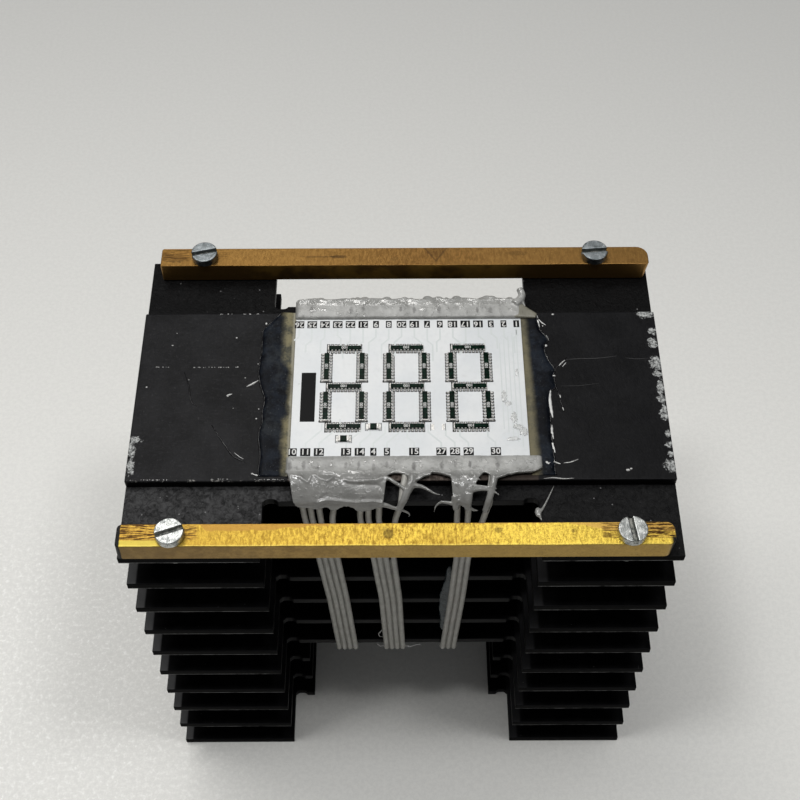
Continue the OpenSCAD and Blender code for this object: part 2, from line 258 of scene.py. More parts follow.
class Shader:
    """One material's node tree in short calls. Places are in millimetres of the row frame."""

    def __init__(self, name, specular=0.5, metallic=0.0):
        self.material = bpy.data.materials.new(name)
        self.material.use_nodes = True
        self.tree = self.material.node_tree
        self.own = self.tree.nodes["Principled BSDF"].inputs
        self.own["Specular IOR Level"].default_value = specular
        self.own["Metallic"].default_value = metallic
        self.colour = None
        place_m = self.new("ShaderNodeTexCoord").outputs["Object"]
        self.mm = self.vector("SCALE", place_m, scale=1 / MM)
        self.x, self.y, self.z = self.split(self.mm)
        self.nx, self.ny, self.nz = self.split(self.new("ShaderNodeNewGeometry").outputs["Normal"])

    def new(self, kind, settings=None, **inputs):
        """A node with its settings and the inputs that are given by name."""
        node = self.tree.nodes.new(kind)
        for key, value in (settings or {}).items():
            setattr(node, key, value)
        for key, value in inputs.items():
            self.put(value, node.inputs[key.replace("_", " ")])
        return node

    def put(self, value, socket):
        """Links a worked-out value, or sets a fixed number or colour."""
        if isinstance(value, Value):
            value = value.socket
        if isinstance(value, bpy.types.NodeSocket):
            self.tree.links.new(value, socket)
        else:
            socket.default_value = value

    def split(self, vector):
        """The three numbers of a vector."""
        return [Value(self, socket) for socket in self.new("ShaderNodeSeparateXYZ", Vector=vector).outputs]

    def math(self, operation, *numbers):
        """The outcome of one sum."""
        node = self.new("ShaderNodeMath", {"operation": operation})
        for number, socket in zip(numbers, node.inputs):
            self.put(number, socket)
        return Value(self, node.outputs[0])

    def either(self, a, b):
        """The larger of two masks."""
        return self.math("MAXIMUM", a, b)

    def vector(self, operation, a, b=(0, 0, 0), scale=1.0):
        """The outcome of one sum of vectors."""
        node = self.new("ShaderNodeVectorMath", {"operation": operation})
        for value, socket in ((a, node.inputs[0]), (b, node.inputs[1]), (scale, node.inputs[3])):
            self.put(value, socket)
        return node.outputs[0]

    def noise(self, scale, detail=3.0, rough=0.5, stretch=(1, 1, 1), shift=(0, 0, 0), warp=0.0):
        """Noise from 0 to 1; scale is in features per millimetre."""
        place_mm = self.vector("MULTIPLY", self.vector("ADD", self.mm, shift), stretch)
        node = self.new("ShaderNodeTexNoise", Vector=place_mm, Scale=scale, Detail=detail,
                        Roughness=rough, Distortion=warp)
        return Value(self, node.outputs[0])

    def cells(self, scale, shift=(0, 0, 0)):
        """Distance to the nearest of scattered points."""
        place_mm = self.vector("ADD", self.mm, shift)
        return Value(self, self.new("ShaderNodeTexVoronoi", Vector=place_mm, Scale=scale).outputs[0])

    def step(self, value, low, high):
        """0 below low, 1 above high, smooth between; low may be above high."""
        ends = (0.0, 1.0) if low <= high else (1.0, 0.0)
        low, high = min(low, high), max(low, high)
        node = self.new("ShaderNodeMapRange", {"interpolation_type": "SMOOTHSTEP"}, Value=value,
                        From_Min=low, From_Max=high, To_Min=ends[0], To_Max=ends[1])
        return Value(self, node.outputs[0])

    def ramp(self, value, low, high):
        """Value from 0..1 to low..high."""
        return self.math("MULTIPLY_ADD", value, high - low, low)

    def spot(self, x, y, size_x, size_y, soft, wobble):
        """Mask of an uneven ellipse seen from above, with soft edges."""
        dx = (self.x - x) / size_x
        dy = (self.y - y) / size_y
        far = self.math("SQRT", dx * dx + dy * dy) + wobble
        return self.step(far, 1.0 + soft / 2, 1.0 - soft / 2)

    def between(self, value, low, high, soft):
        """1 between low and high, fading over soft outside."""
        return self.step(value, low - soft, low) * self.step(value, high + soft, high)

    def mix(self, mask, a, b):
        """Colour a where mask is 0, b where it is 1; a single number stands for a grey."""
        node = self.new("ShaderNodeMix", {"data_type": "RGBA"}, Factor=mask)
        for value, socket in ((a, node.inputs[6]), (b, node.inputs[7])):
            if isinstance(value, (int, float)):
                value = (value, value, value)
            self.put((*value, 1.0) if isinstance(value, tuple) else value, socket)
        return node.outputs[2]

    def layer(self, mask, colour):
        """Lays a colour over the material's colour so far."""
        self.colour = self.mix(mask, self.colour, colour)

    def fade(self, mask, a, b):
        """Number a where mask is 0, b where it is 1."""
        node = self.new("ShaderNodeMix", {"data_type": "FLOAT"})
        for value, socket in ((mask, node.inputs[0]), (a, node.inputs[2]), (b, node.inputs[3])):
            self.put(value, socket)
        return Value(self, node.outputs[0])

    def bump(self, height, distance_mm, strength=1.0):
        """Adds fine relief to what is there already."""
        node = self.new("ShaderNodeBump", Height=height, Strength=strength, Distance=distance_mm * MM)
        if self.own["Normal"].is_linked:
            self.put(self.own["Normal"].links[0].from_socket, node.inputs["Normal"])
        self.put(node.outputs[0], self.own["Normal"])

    def not_metal(self, mask):
        """Bare metal only where the mask is 0."""
        self.put(1.0 - mask, self.own["Metallic"])

    def finish(self, roughness):
        """The material, with its colour and roughness in place."""
        self.put(self.colour, self.own["Base Color"])
        self.put(roughness, self.own["Roughness"])
        return self.material


# ---- materials

def black_anodised(name="black_anodised", shine=0.08):
    """Deep black of the fins, with painted light: lit strips at the fins' outer ends, painted highlights on
    the upper front edges and in a broken pale line along the foot of the front faces, painted shade on the
    front faces and painted sheen on the side and rear faces.
    """
    s = Shader(name, shine)
    cloud = s.noise(0.35, 5, 0.6)
    grain = s.noise(3.0, 4, 0.65)
    s.colour = s.mix(s.step(cloud, 0.35, 0.7), (0.0022, 0.0022, 0.0024), (0.0046, 0.0046, 0.005))
    upward = s.step(s.nz, 0.7, 0.9)
    # Painted light: pale strips on the fin tops at the left ends and beside the inner right edge, where
    # light reaches in between the fins.
    lit_fin_ends = upward * s.ramp(cloud, 0.5, 1.0)
    s.layer(lit_fin_ends * s.step(s.x, BLOCK_LEFT + 1.9, BLOCK_LEFT + 1.5), (0.066, 0.066, 0.067))
    s.layer(lit_fin_ends * s.between(s.x, INNER_RIGHT, INNER_RIGHT + 1.3, 0.7), (0.022, 0.022, 0.023))
    # Painted highlight on the upper front edges.
    upper_edge_highlight = s.step(s.nz, 0.15, 0.35) * s.step(s.ny, -0.15, -0.35)
    s.layer(upper_edge_highlight, (0.011, 0.011, 0.0115))
    speck = s.step(s.cells(0.5), 0.05, 0.025)
    s.layer(speck * 0.3, 0.2)
    # Painted shade: faces that look forwards are darker, darkest at the block's front.
    front = s.step(s.ny, -0.5, -0.8) * s.step(s.y, BLOCK_LOW.y + 2.0, BLOCK_LOW.y + 1.0)
    s.layer(s.step(s.ny, -0.5, -0.8), s.mix(front, (0.004, 0.004, 0.0042), (0.0012, 0.0012, 0.0013)))
    # Painted sheen: the outer side faces and the rear faces are lighter.
    sides = s.step(abs(s.nx), 0.6, 0.9) * s.step(abs(s.x), 49.0, 50.0)
    rear = s.step(s.ny, 0.6, 0.9) * s.step(s.y, BLOCK_HIGH.y - 2.0, BLOCK_HIGH.y - 1.0)
    s.layer(s.either(sides, rear), s.mix(grain, (0.007, 0.007, 0.0074), (0.02, 0.02, 0.021)))
    # Painted reflection: a broken pale line along the foot of each front face, where the lower edge catches
    # the pale table's light.
    height = s.z % FIN_PITCH
    broken = s.step(s.noise(0.22, 5, 0.75, stretch=(1, 1, 0.4), shift=(0, 5, 0)), 0.36, 0.62)
    s.layer(front * s.step(height, 0.4, 0.28) * s.ramp(broken, 0.15, 1.0), 0.16)
    s.bump(grain, 0.03, 0.5)
    return s.finish(s.ramp(grain, 0.4, 0.6))


def leg_top():
    """Top face of the top fin: black paint with the look of suede."""
    s = Shader("painted_top", 0.08)
    hide = s.noise(1.15, 6, 0.7, warp=0.8)
    fine = s.noise(2.6, 4, 0.7, shift=(4, 0, 0))
    patches = hide * 0.6 + s.noise(0.36, 5, 0.75, shift=(0, 0, 6), warp=0.6) * 0.4
    patches = s.step(patches, 0.38, 0.62)
    s.colour = s.mix(patches, (0.001, 0.001, 0.0012), (0.0036, 0.0036, 0.0038))
    front = s.step(s.y, -5.0, -20.0)
    s.layer(front * patches, (0.0085, 0.0085, 0.0088))
    worn = front * s.step(s.x, 10.0, -30.0)
    s.layer(worn, s.mix(patches, (0.0075, 0.0075, 0.0078), (0.05, 0.05, 0.051)))
    sparkle = s.step(s.noise(2.4, 5, 0.8, shift=(0, 3, 0)), 0.6, 0.72)
    where = s.step(s.noise(0.25, 4, 0.6, shift=(3, 0, 0)), 0.4, 0.6)
    s.layer(sparkle * where * 0.5, 0.09)
    s.layer(s.step(s.y, 10.0, 20.0) * s.step(s.x, 10.0, 30.0) * 0.7, (0.0006, 0.0006, 0.0007))
    lumps = s.step(s.cells(0.42, shift=(3, 0, 0)), 0.07, 0.04)
    s.layer(lumps * 0.5, 0.3)
    s.layer(s.step(s.nz, 0.6, 0.3), (0.003, 0.003, 0.0032))
    s.bump(hide, 0.3, 0.8)
    s.bump(fine, 0.08, 0.9)
    return s.finish(s.ramp(fine, 0.36, 0.6))


def black_slab():
    """Cast black slab: fine fibrous grain, a few specks, chipped pale at its side edges, with painted sheen
    at its left, painted glints on its front top edge and painted shade on its upright faces.
    """
    s = Shader("black_slab", 0.07)
    cloud = s.noise(0.13, 5, 0.6, shift=(11, 5, 0))
    grain = s.noise(1.6, 5, 0.7, stretch=(1, 0.6, 1))
    tone = cloud * 0.6 + grain * 0.4
    s.colour = s.mix(s.step(tone, 0.36, 0.66), (0.004, 0.004, 0.0045), (0.0115, 0.0115, 0.0125))
    # Painted sheen from the left: the slab darkens towards the right, and the real dust and fibres below
    # show more at the left.
    s.layer(s.step(s.x, -35.0, 35.0) * 0.5, (0.0022, 0.0022, 0.0026))
    dust = s.step(s.noise(2.6, 5, 0.8, stretch=(1, 0.5, 1), shift=(5, 9, 0)), 0.58, 0.74)
    s.layer(dust * s.fade(s.step(s.x, -35.0, 35.0), 0.5, 0.13), 0.07)
    fibres = s.step(s.noise(1.5, 5, 0.85, stretch=(0.5, 1.4, 1), shift=(0, 3, 0)), 0.52, 0.72)
    s.layer(fibres * s.fade(s.step(s.x, -35.0, 35.0), 0.6, 0.2), (0.034, 0.034, 0.036))
    rare = s.step(s.cells(0.16, shift=(2, 1, 0)), 0.03, 0.015)
    s.layer(rare * 0.6, (0.75, 0.75, 0.73))
    ragged = (s.noise(1.2, 5, 0.75, shift=(0, 2, 0)) - 0.5) * 3.6
    chips = 0.0
    for x, y, half_x, half_y in SLAB_CHIPS:
        chips = s.either(chips, s.spot(x, y, half_x, half_y, 0.25, ragged))
    crushed = s.step(s.noise(1.7, 5, 0.75, shift=(8, 0, 0)), 0.38, 0.62)
    pale = s.mix(crushed, (0.035, 0.036, 0.036), (0.42, 0.43, 0.42))
    s.layer(chips * s.step(s.z, SLAB_TOP - 0.9, SLAB_TOP - 0.5), pale)
    lip = s.between(s.x, BOARD_LOW.x + 0.3, BOARD_HIGH.x + 1.0, 0.5)
    lip = lip * s.step(s.y, SLAB_FRONT + 1.9, SLAB_FRONT + 1.5)
    residue = s.mix(s.step(grain, 0.35, 0.65), (0.035, 0.028, 0.023), (0.15, 0.12, 0.105))
    cleaner = s.mix(grain, (0.012, 0.01, 0.009), (0.06, 0.046, 0.038))
    residue = s.mix(s.step(s.x, 12.0, 17.0), residue, cleaner)
    s.layer(lip * s.step(s.nz, 0.2, 0.5), residue)
    # Painted highlight: broken pale glints on the rounded front top edge, left of the board.
    front = s.step(s.y, SLAB_FRONT + 0.5, SLAB_FRONT + 0.2) * s.step(s.nz, 0.15, 0.3)
    front = front * s.step(s.noise(1.1, 5, 0.85), 0.54, 0.64) * s.step(s.x, -19.0, -21.0)
    s.layer(front * 0.6, (0.4, 0.39, 0.36))
    # Painted shade on the slab's upright faces.
    s.layer(s.step(s.nz, 0.3, 0.05), (0.0022, 0.0022, 0.0024))
    s.bump(grain, 0.09, 0.8)
    s.bump(cloud, 0.25, 0.3)
    return s.finish(s.ramp(grain, 0.32, 0.5))


# Pale chips at the slab's sides as (x, y, half width, half depth).
SLAB_CHIPS = [
    (49.3, 18.9, 1.9, 0.8), (50.0, 14.6, 0.7, 0.8), (49.8, 11.8, 0.8, 1.1), (49.9, 6.9, 1.0, 1.5),
    (50.0, 4.1, 0.8, 0.6), (50.1, 1.0, 0.7, 1.5), (50.0, -1.9, 0.8, 0.9), (50.2, -4.8, 0.8, 1.5),
    (50.4, -9.8, 0.5, 0.7), (50.3, -12.0, 0.7, 0.6), (50.4, -14.2, 0.6, 0.6), (50.1, -16.6, 1.0, 1.3),
    (-49.8, -10.4, 1.1, 0.6), (-50.2, -12.6, 0.6, 1.5), (-50.0, -16.4, 0.7, 1.5),
]


def potting_resin():
    """Blue-black resin with dust on it and a stained strip along the board."""
    s = Shader("potting_resin", 0.05)
    cloud = s.noise(0.3, 6, 0.75)
    s.colour = s.mix(s.step(cloud, 0.38, 0.64), (0.0008, 0.0013, 0.0028), (0.0085, 0.0115, 0.017))
    s.layer(s.step(s.noise(2.4, 5, 0.8, shift=(1, 1, 0)), 0.54, 0.72) * 0.6, (0.05, 0.056, 0.06))
    haze = s.step(s.noise(0.17, 6, 0.75, shift=(7, 2, 0)), 0.46, 0.6) * s.step(s.x, 5.0, -5.0)
    s.layer(haze * s.between(s.y, -7.0, 9.0, 6.0) * 0.55, (0.024, 0.028, 0.031))
    deep = s.step(s.noise(0.14, 4, 0.6, shift=(2, 9, 0)), 0.5, 0.62)
    s.layer(deep * 0.7, (0.0009, 0.0012, 0.0022))
    dust = s.step(s.cells(1.1, shift=(3, 3, 0)), 0.09, 0.04)
    s.layer(dust * 0.5, (0.16, 0.17, 0.17))
    left = BOARD_LOW.x - s.x
    right = s.x - BOARD_HIGH.x
    climb = s.step(s.y, BOARD_LOW.y, BOARD_HIGH.y)
    middle = s.between(s.y, -4.0, 5.0, 3.0)
    reach_left = s.fade(middle, s.fade(climb, 1.3, 2.4), 0.7)
    reach_right = s.fade(climb, 1.75, 1.1)
    ragged = (s.noise(0.5, 4, 0.65, shift=(4, 0, 0)) - 0.5) * 1.6
    away_left = left - reach_left + ragged
    away_right = right - reach_right + ragged * 0.5
    strip_left = s.step(away_left, 0.8, -0.9) * s.step(left, -0.6, -0.3)
    strip_right = s.step(away_right, 0.6, -0.8) * s.step(right, -0.6, -0.3)
    mould = s.step(s.noise(0.32, 6, 0.7, shift=(4, 7, 0)), 0.36, 0.6)
    on_left = s.step(s.x, 5.0, -5.0)
    thin = s.mix(on_left, (0.075, 0.07, 0.05), (0.055, 0.056, 0.045))
    thick = s.mix(on_left, (0.135, 0.12, 0.075), (0.188, 0.166, 0.098))
    stain = s.mix(mould, thin, thick)
    milky = on_left * s.step(left + ragged * 0.4, 0.75, 0.25)
    stain = s.mix(milky, stain, (0.26, 0.245, 0.19))
    specks = s.step(s.noise(1.5, 4, 0.7, shift=(9, 0, 0)), 0.58, 0.68)
    stain = s.mix(specks * 0.5, stain, (0.03, 0.03, 0.025))
    s.layer(s.either(strip_left, strip_right), stain)
    s.bump(s.noise(0.8, 3, 0.5), 0.06, 0.4)
    return s.finish(s.ramp(cloud, 0.28, 0.5))


def resin_rim():
    """Shiny black rolled edge of the resin."""
    s = Shader("resin_rim", 0.3)
    cloud = s.noise(1.5, 3)
    s.bump(cloud, 0.05, 0.5)
    s.colour = s.mix(cloud, 0.001, (0.004, 0.004, 0.005))
    return s.finish(s.ramp(cloud, 0.15, 0.3))


def board_white():
    """White solder mask with a faint blue cast, specks of dirt and darker cut edges."""
    s = Shader("white_board")
    cloud = s.noise(0.12, 3, 0.5)
    s.colour = s.mix(s.step(cloud, 0.35, 0.7), (0.535, 0.555, 0.565), (0.6, 0.61, 0.61))
    s.layer(s.step(s.noise(1.1, 4, 0.7, shift=(5, 0, 0)), 0.45, 0.7) * 0.2, (0.45, 0.465, 0.465))
    smudge = s.step(s.noise(0.35, 5, 0.65, shift=(2, 8, 0)), 0.6, 0.72)
    s.layer(smudge * 0.22, 0.42)
    dirt = s.step(s.cells(0.17, shift=(3, 3, 0)), 0.03, 0.012)
    s.layer(dirt * 0.6, (0.12, 0.11, 0.1))
    s.layer(s.step(s.nz, 0.8, 0.4), (0.34, 0.33, 0.27))
    s.bump(s.noise(2.5, 2, 0.5), 0.01, 0.3)
    return s.finish(s.ramp(cloud, 0.28, 0.4))


def board_trace():
    """Copper tracks showing faintly through the mask."""
    s = Shader("board_trace")
    s.colour = s.mix(s.noise(0.3, 2), (0.475, 0.505, 0.5), (0.53, 0.555, 0.55))
    return s.finish(s.ramp(s.noise(2.0, 2), 0.24, 0.36))


def board_ink(name, tone):
    """Printed ink, slightly uneven."""
    s = Shader(name, 0.08)
    grain = s.noise(7.0, 3, 0.6)
    dark = tuple(0.55 * c for c in tone)
    s.colour = s.mix(grain, dark, tone)
    return s.finish(s.ramp(grain, 0.4, 0.6))


def green_chip():
    """Glazed dark green top of a chip, nearly black in places."""
    s = Shader("green_chip", 0.03)
    cloud = s.noise(1.6, 3, 0.6)
    s.colour = s.mix(s.step(cloud, 0.38, 0.62), (0.0006, 0.0034, 0.0019), (0.0016, 0.0125, 0.0065))
    s.bump(s.noise(3.0, 2), 0.02, 0.4)
    return s.finish(s.ramp(cloud, 0.15, 0.3))


def solder():
    """Dull solder and tinned terminals."""
    s = Shader("solder", metallic=0.5)
    cloud = s.noise(4.0, 4, 0.6)
    s.colour = s.mix(s.step(cloud, 0.35, 0.65), (0.3, 0.29, 0.27), (0.66, 0.65, 0.62))
    s.bump(s.noise(5.0, 3), 0.04, 0.6)
    return s.finish(s.ramp(cloud, 0.25, 0.5))


def silicone(name="silicone", light=(0.312, 0.312, 0.298), dark=(0.215, 0.215, 0.204)):
    """Cloudy grey silicone, wet looking, with a few bubbles and the solder joints showing through."""
    s = Shader(name, 0.75)
    cloud = s.noise(0.35, 5, 0.6, shift=(1, 4, 0))
    fine = s.noise(1.6, 4, 0.6)
    s.colour = s.mix(s.step(cloud, 0.34, 0.68), dark, light)
    joints = 0.0
    wobble = (s.noise(2.6, 3, 0.6) - 0.5) * 1.8
    rng = random.Random(21)
    rows = [(BOARD_LOW.y + 0.85, 0.0, USED_PADS),
            (BOARD_HIGH.y - 1.5, REAR_SHIFT, (1, 4, 5, 8, 9, 11, 14, 15))]
    for y, shift, places in rows:
        for number in places:
            x = PAD_X0 + shift + number * PAD_PITCH + 0.3 * (rng.random() - 0.5)
            size = 0.95 + 0.6 * rng.random()
            spot = s.spot(x, y + 0.6 * (rng.random() - 0.5), 0.26 * size, 0.62 * size, 0.9, wobble)
            joints = s.either(joints, spot * (0.5 + 0.5 * rng.random()))
    hanging = s.step(s.y, BOARD_LOW.y - 0.2, BOARD_LOW.y - 1.6)
    s.layer(hanging * s.step(s.y, SLAB_REAR, SLAB_REAR - 9.0) * 0.45, tuple(0.45 * c for c in dark))
    s.layer(joints * s.step(s.nz, 0.4, 0.7) * 0.8, (0.05, 0.048, 0.044))
    bubbles = s.step(s.cells(0.8, shift=(6, 2, 1)), 0.09, 0.05)
    s.layer(bubbles * 0.5, (0.1, 0.1, 0.095))
    s.own["Subsurface Weight"].default_value = 0.12
    s.own["Subsurface Radius"].default_value = (0.6 * MM, 0.6 * MM, 0.6 * MM)
    s.own["Subsurface Scale"].default_value = 1.0
    s.bump(fine, 0.05, 0.35)
    s.bump(s.noise(2.6, 2, 0.5), 0.06, 0.3)
    s.bump(s.step(s.noise(1.1, 3, 0.5, shift=(0, 8, 0)), 0.56, 0.66), 0.06, 0.35)
    flat = s.step(s.y, BOARD_LOW.y - 0.6, BOARD_LOW.y + 0.1) * s.step(s.y, BOARD_HIGH.y, BOARD_HIGH.y - 0.6)
    flat = flat * s.step(s.nz, 0.6, 0.85)
    wet = s.step(s.noise(0.8, 4, 0.6, shift=(2, 2, 0)), 0.56, 0.62)
    s.bump(wet, 0.08, 0.5)
    dull = flat * (1.0 - wet)
    return s.finish(s.fade(dull, s.ramp(fine, 0.07, 0.18), 0.42))


def old_glue():
    """Yellowed glue at the board's rear corners and in the gap beside it."""
    s = Shader("old_glue")
    cloud = s.noise(0.7, 4, 0.6)
    s.bump(cloud, 0.05, 0.5)
    s.colour = s.mix(cloud, (0.085, 0.082, 0.06), (0.21, 0.2, 0.16))
    return s.finish(s.ramp(cloud, 0.2, 0.4))


def clear_smear():
    """Thin clear glue on white: the board's colour, slightly dulled, with a wet shine."""
    s = Shader("clear_smear")
    cloud = s.noise(1.2, 4, 0.6)
    s.bump(cloud, 0.05, 0.5)
    s.colour = s.mix(s.step(cloud, 0.35, 0.65), (0.41, 0.42, 0.41), (0.58, 0.59, 0.585))
    return s.finish(s.ramp(cloud, 0.12, 0.25))


def dark_glue():
    """Nearly clear glue over black, with a blue cast."""
    s = Shader("dark_glue", 0.2)
    cloud = s.noise(0.5, 4, 0.6)
    s.bump(cloud, 0.1, 0.5)
    s.colour = s.mix(s.step(cloud, 0.35, 0.65), (0.008, 0.012, 0.014), (0.032, 0.042, 0.047))
    return s.finish(s.ramp(cloud, 0.2, 0.35))


def wire_jacket():
    """Light grey insulation, a little dirty."""
    s = Shader("wire_jacket")
    cloud = s.noise(0.5, 4, 0.6)
    s.colour = s.mix(s.step(cloud, 0.3, 0.75), (0.265, 0.26, 0.236), (0.375, 0.368, 0.34))
    dirt = s.step(s.noise(1.3, 5, 0.7, shift=(9, 0, 0)), 0.64, 0.72)
    s.layer(dirt * 0.6, (0.07, 0.062, 0.05))
    s.bump(s.noise(3.0, 3), 0.03, 0.4)
    return s.finish(s.ramp(cloud, 0.34, 0.5))


# Distance between the turning marks on the screws' heads.
RING_PITCH = 0.62


def zinc_steel():
    """Dull zinc plating, scratched on top, with dirt in the slots; the rear screws are darker."""
    s = Shader("zinc_steel", metallic=1.0)
    cloud = s.noise(0.9, 5, 0.65)
    scratch = s.noise(1.2, 4, 0.7, stretch=(2.6, 0.7, 1), warp=2.5)
    tone = cloud * 0.5 + scratch * 0.5
    front = s.mix(s.step(tone, 0.4, 0.62), (0.14, 0.148, 0.145), (0.69, 0.7, 0.675))
    front = s.mix(s.step(s.x, 10.0, 30.0) * 0.3, front, (0.2, 0.21, 0.205))
    far = s.math("SQRT", (s.x - FRONT_LEFT_HEAD.x) ** 2.0 + (s.y - FRONT_LEFT_HEAD.y) ** 2.0)
    ring = s.step(far % RING_PITCH + scratch * 0.3, 0.3, 0.18) * s.step(s.nz, 0.8, 0.95)
    front = s.mix(ring * 0.55, front, (0.16, 0.165, 0.16))
    rear = s.mix(s.step(tone, 0.38, 0.64), (0.12, 0.135, 0.14), (0.3, 0.325, 0.335))
    s.colour = s.mix(s.step(s.y, -5.0, 5.0), front, rear)
    head_top = FRONT_BAR[1].z + HEAD_HEIGHT
    slot = s.step(s.z, head_top - 0.12, head_top - 0.45) * s.step(s.nz, 0.2, 0.6)
    dirt = s.mix(s.step(s.noise(2.2, 3, 0.6), 0.45, 0.6), (0.022, 0.028, 0.022), (0.2, 0.2, 0.175))
    s.layer(slot, dirt)
    s.not_metal(slot)
    s.bump(scratch, 0.07, 0.6)
    s.bump(cloud, 0.1, 0.4)
    return s.finish(s.ramp(cloud, 0.3, 0.46))


def bright_colours(s, bar, brush, hatch, mottle):
    """Colours of the front bar's top and faces: scratched gold with tarnished bands at its rear edge and a
    painted highlight along its front edge.
    """
    low, high = bar
    depth = s.y - low.y
    wide = s.noise(0.07, 3, 0.6, shift=(20, 0, 0))
    streaks = brush * 0.6 + hatch * 0.4
    gold = s.mix(s.step(streaks, 0.36, 0.64), (0.15, 0.08, 0.01), (0.68, 0.49, 0.078))
    gold = s.mix(s.step(wide, 0.42, 0.62) * 0.25, gold, (0.3, 0.185, 0.03))
    hatched = s.ramp(s.step(hatch, 0.4, 0.6), 0.15, 0.5)
    gold = s.mix(s.step(s.x, 8.0, 24.0) * hatched, gold, (0.8, 0.6, 0.1))
    gold = s.mix(s.step(s.x, 24.0, -38.0) * 0.6, gold, (0.2, 0.12, 0.02))
    edge = high.y - low.y - depth + (mottle - 0.5) * 1.6
    band_width = s.fade(s.step(s.x, -29.0, -8.0), 1.5, 0.2) * s.step(s.x, -36.5, -34.0)
    band_width = s.either(band_width, s.fade(s.step(s.x, 29.0, 38.0), 0.15, 1.8))
    band = s.step(edge - band_width, 0.18, -0.18)
    tan = s.mix(s.step(s.x, 10.0, 20.0), (0.24, 0.13, 0.03), (0.42, 0.255, 0.065))
    top = s.mix(band * s.ramp(brush, 0.6, 1.0), gold, tan)
    clean = s.step(s.x, -41.0, -44.0) * s.step(depth, 1.5, 1.1)
    top = s.mix(clean * 0.85, top, (0.31, 0.25, 0.048))
    # Painted highlight along the front edge of the top.
    top = s.mix(s.step(depth, 0.42, 0.25) * 0.25, top, (0.62, 0.5, 0.14))
    face = s.mix(s.step(mottle, 0.36, 0.66), (0.24, 0.148, 0.038), (0.35, 0.225, 0.064))
    face = s.mix(s.step(s.x, -22.0, 12.0) * 0.5, face, (0.48, 0.32, 0.07))
    face = s.mix(s.step(s.x, -20.0, -42.0) * 0.45, face, (0.11, 0.066, 0.02))
    face = s.mix(s.step(s.noise(2.5, 4, 0.7), 0.5, 0.66) * 0.3, face, (0.12, 0.07, 0.02))
    face = s.mix(s.step(hatch, 0.5, 0.7) * 0.4, face, (0.14, 0.085, 0.028))
    return top, face


def dull_colours(s, brush, mottle):
    """Colours of the rear bar's top and faces: brown, with paler patches across the middle of its front
    face.
    """
    top = s.mix(s.step(brush, 0.34, 0.66), (0.125, 0.064, 0.019), (0.205, 0.112, 0.034))
    top = s.mix(s.step(s.x, 5.0, -25.0) * 0.26, top, (0.26, 0.15, 0.04))
    top = s.mix(s.step(s.x, 5.0, 25.0) * 0.3, top, (0.28, 0.16, 0.05))
    top = s.mix(s.step(mottle, 0.54, 0.72) * 0.4, top, (0.11, 0.06, 0.02))
    smears = s.step(s.noise(0.12, 3, 0.6, shift=(6, 0, 0)), 0.4, 0.58)
    smears = smears * s.between(s.x, -27.0, 20.0, 8.0)
    paler_middle_patches = s.ramp(smears, 0.15, 1.0) * s.ramp(mottle, 0.4, 1.0)
    face = s.mix(paler_middle_patches, (0.3, 0.165, 0.055), (0.88, 0.52, 0.12))
    back = s.mix(mottle, (0.1, 0.052, 0.016), (0.19, 0.105, 0.032))
    face = s.mix(s.step(s.ny, -0.5, 0.2), face, back)
    return top, face


def brass(name, bar, bright):
    """Bar brass: brushed across, tarnished bands, stains and file marks beside the screws."""
    low, high = bar
    s = Shader(name, 0.1, metallic=1.0)
    brush = s.noise(2.2, 4, 0.65, stretch=(1.0, 0.34, 0.2), warp=0.4)
    hatch = s.noise(3.0, 4, 0.7, shift=(3, 3, 0), warp=1.0)
    mottle = s.noise(0.5, 5, 0.65, stretch=(1, 0.6, 1), shift=(3, 0, 0))
    depth = s.y - low.y
    if bright:
        top, face = bright_colours(s, bar, brush, hatch, mottle)
    else:
        top, face = dull_colours(s, brush, mottle)
    s.colour = s.mix(s.step(s.nz, 0.35, 0.75), face, top)
    pits = s.step(s.cells(0.4, shift=(1, 7, 0)), 0.06, 0.03)
    s.layer(pits * 0.5, (0.08, 0.045, 0.012))
    for x, y, size_x, size_y, strength in BAR_STAINS[name]:
        wobble = (s.noise(1.5, 4, 0.7, shift=(x, 0, 0)) - 0.5) * 1.4
        stain = s.spot(x, y, size_x, size_y, 0.5, wobble) * strength
        s.layer(stain, (0.035, 0.02, 0.01))
    for x, half, strength in BAR_FILES[name]:
        lines = s.step(s.noise(3.6, 3, 0.6, stretch=(0.1, 1, 1), shift=(x, 0, 0), warp=0.3), 0.46, 0.54)
        filed = s.between(s.x, x - half, x + half, 0.8) * s.between(depth, 1.5, 4.4, 0.3)
        filed = filed * s.step(s.nz, 0.5, 0.8)
        s.layer(filed * (0.35 * strength), (0.3, 0.16, 0.04))
        s.layer(lines * filed * strength, (0.045, 0.022, 0.008))
    if bright:
        left_end = s.step(s.x + mottle * 0.6, low.x + 1.35, low.x + 1.15)
        right_end = s.step(s.x, high.x - 1.1, high.x - 0.5) * s.step(depth, 2.2, 1.2)
        paint_mask = s.either(left_end, right_end * s.step(mottle, 0.3, 0.42))
        s.layer(paint_mask, 0.004)
        s.not_metal(paint_mask)
    else:
        # A dark line in the shape of a V whose tip points forwards.
        outline = s.step(abs(abs(s.x - 7.4) + (high.y - s.y) * 0.66 - 2.35), 0.3, 0.12)
        s.layer(outline * s.step(s.nz, 0.5, 0.8) * 0.55, (0.06, 0.035, 0.016))
    s.bump(brush, 0.05, 0.5)
    s.bump(hatch, 0.05, 0.4)
    s.bump(mottle, 0.12, 0.3)
    return s.finish(s.ramp(hatch, 0.36, 0.52))


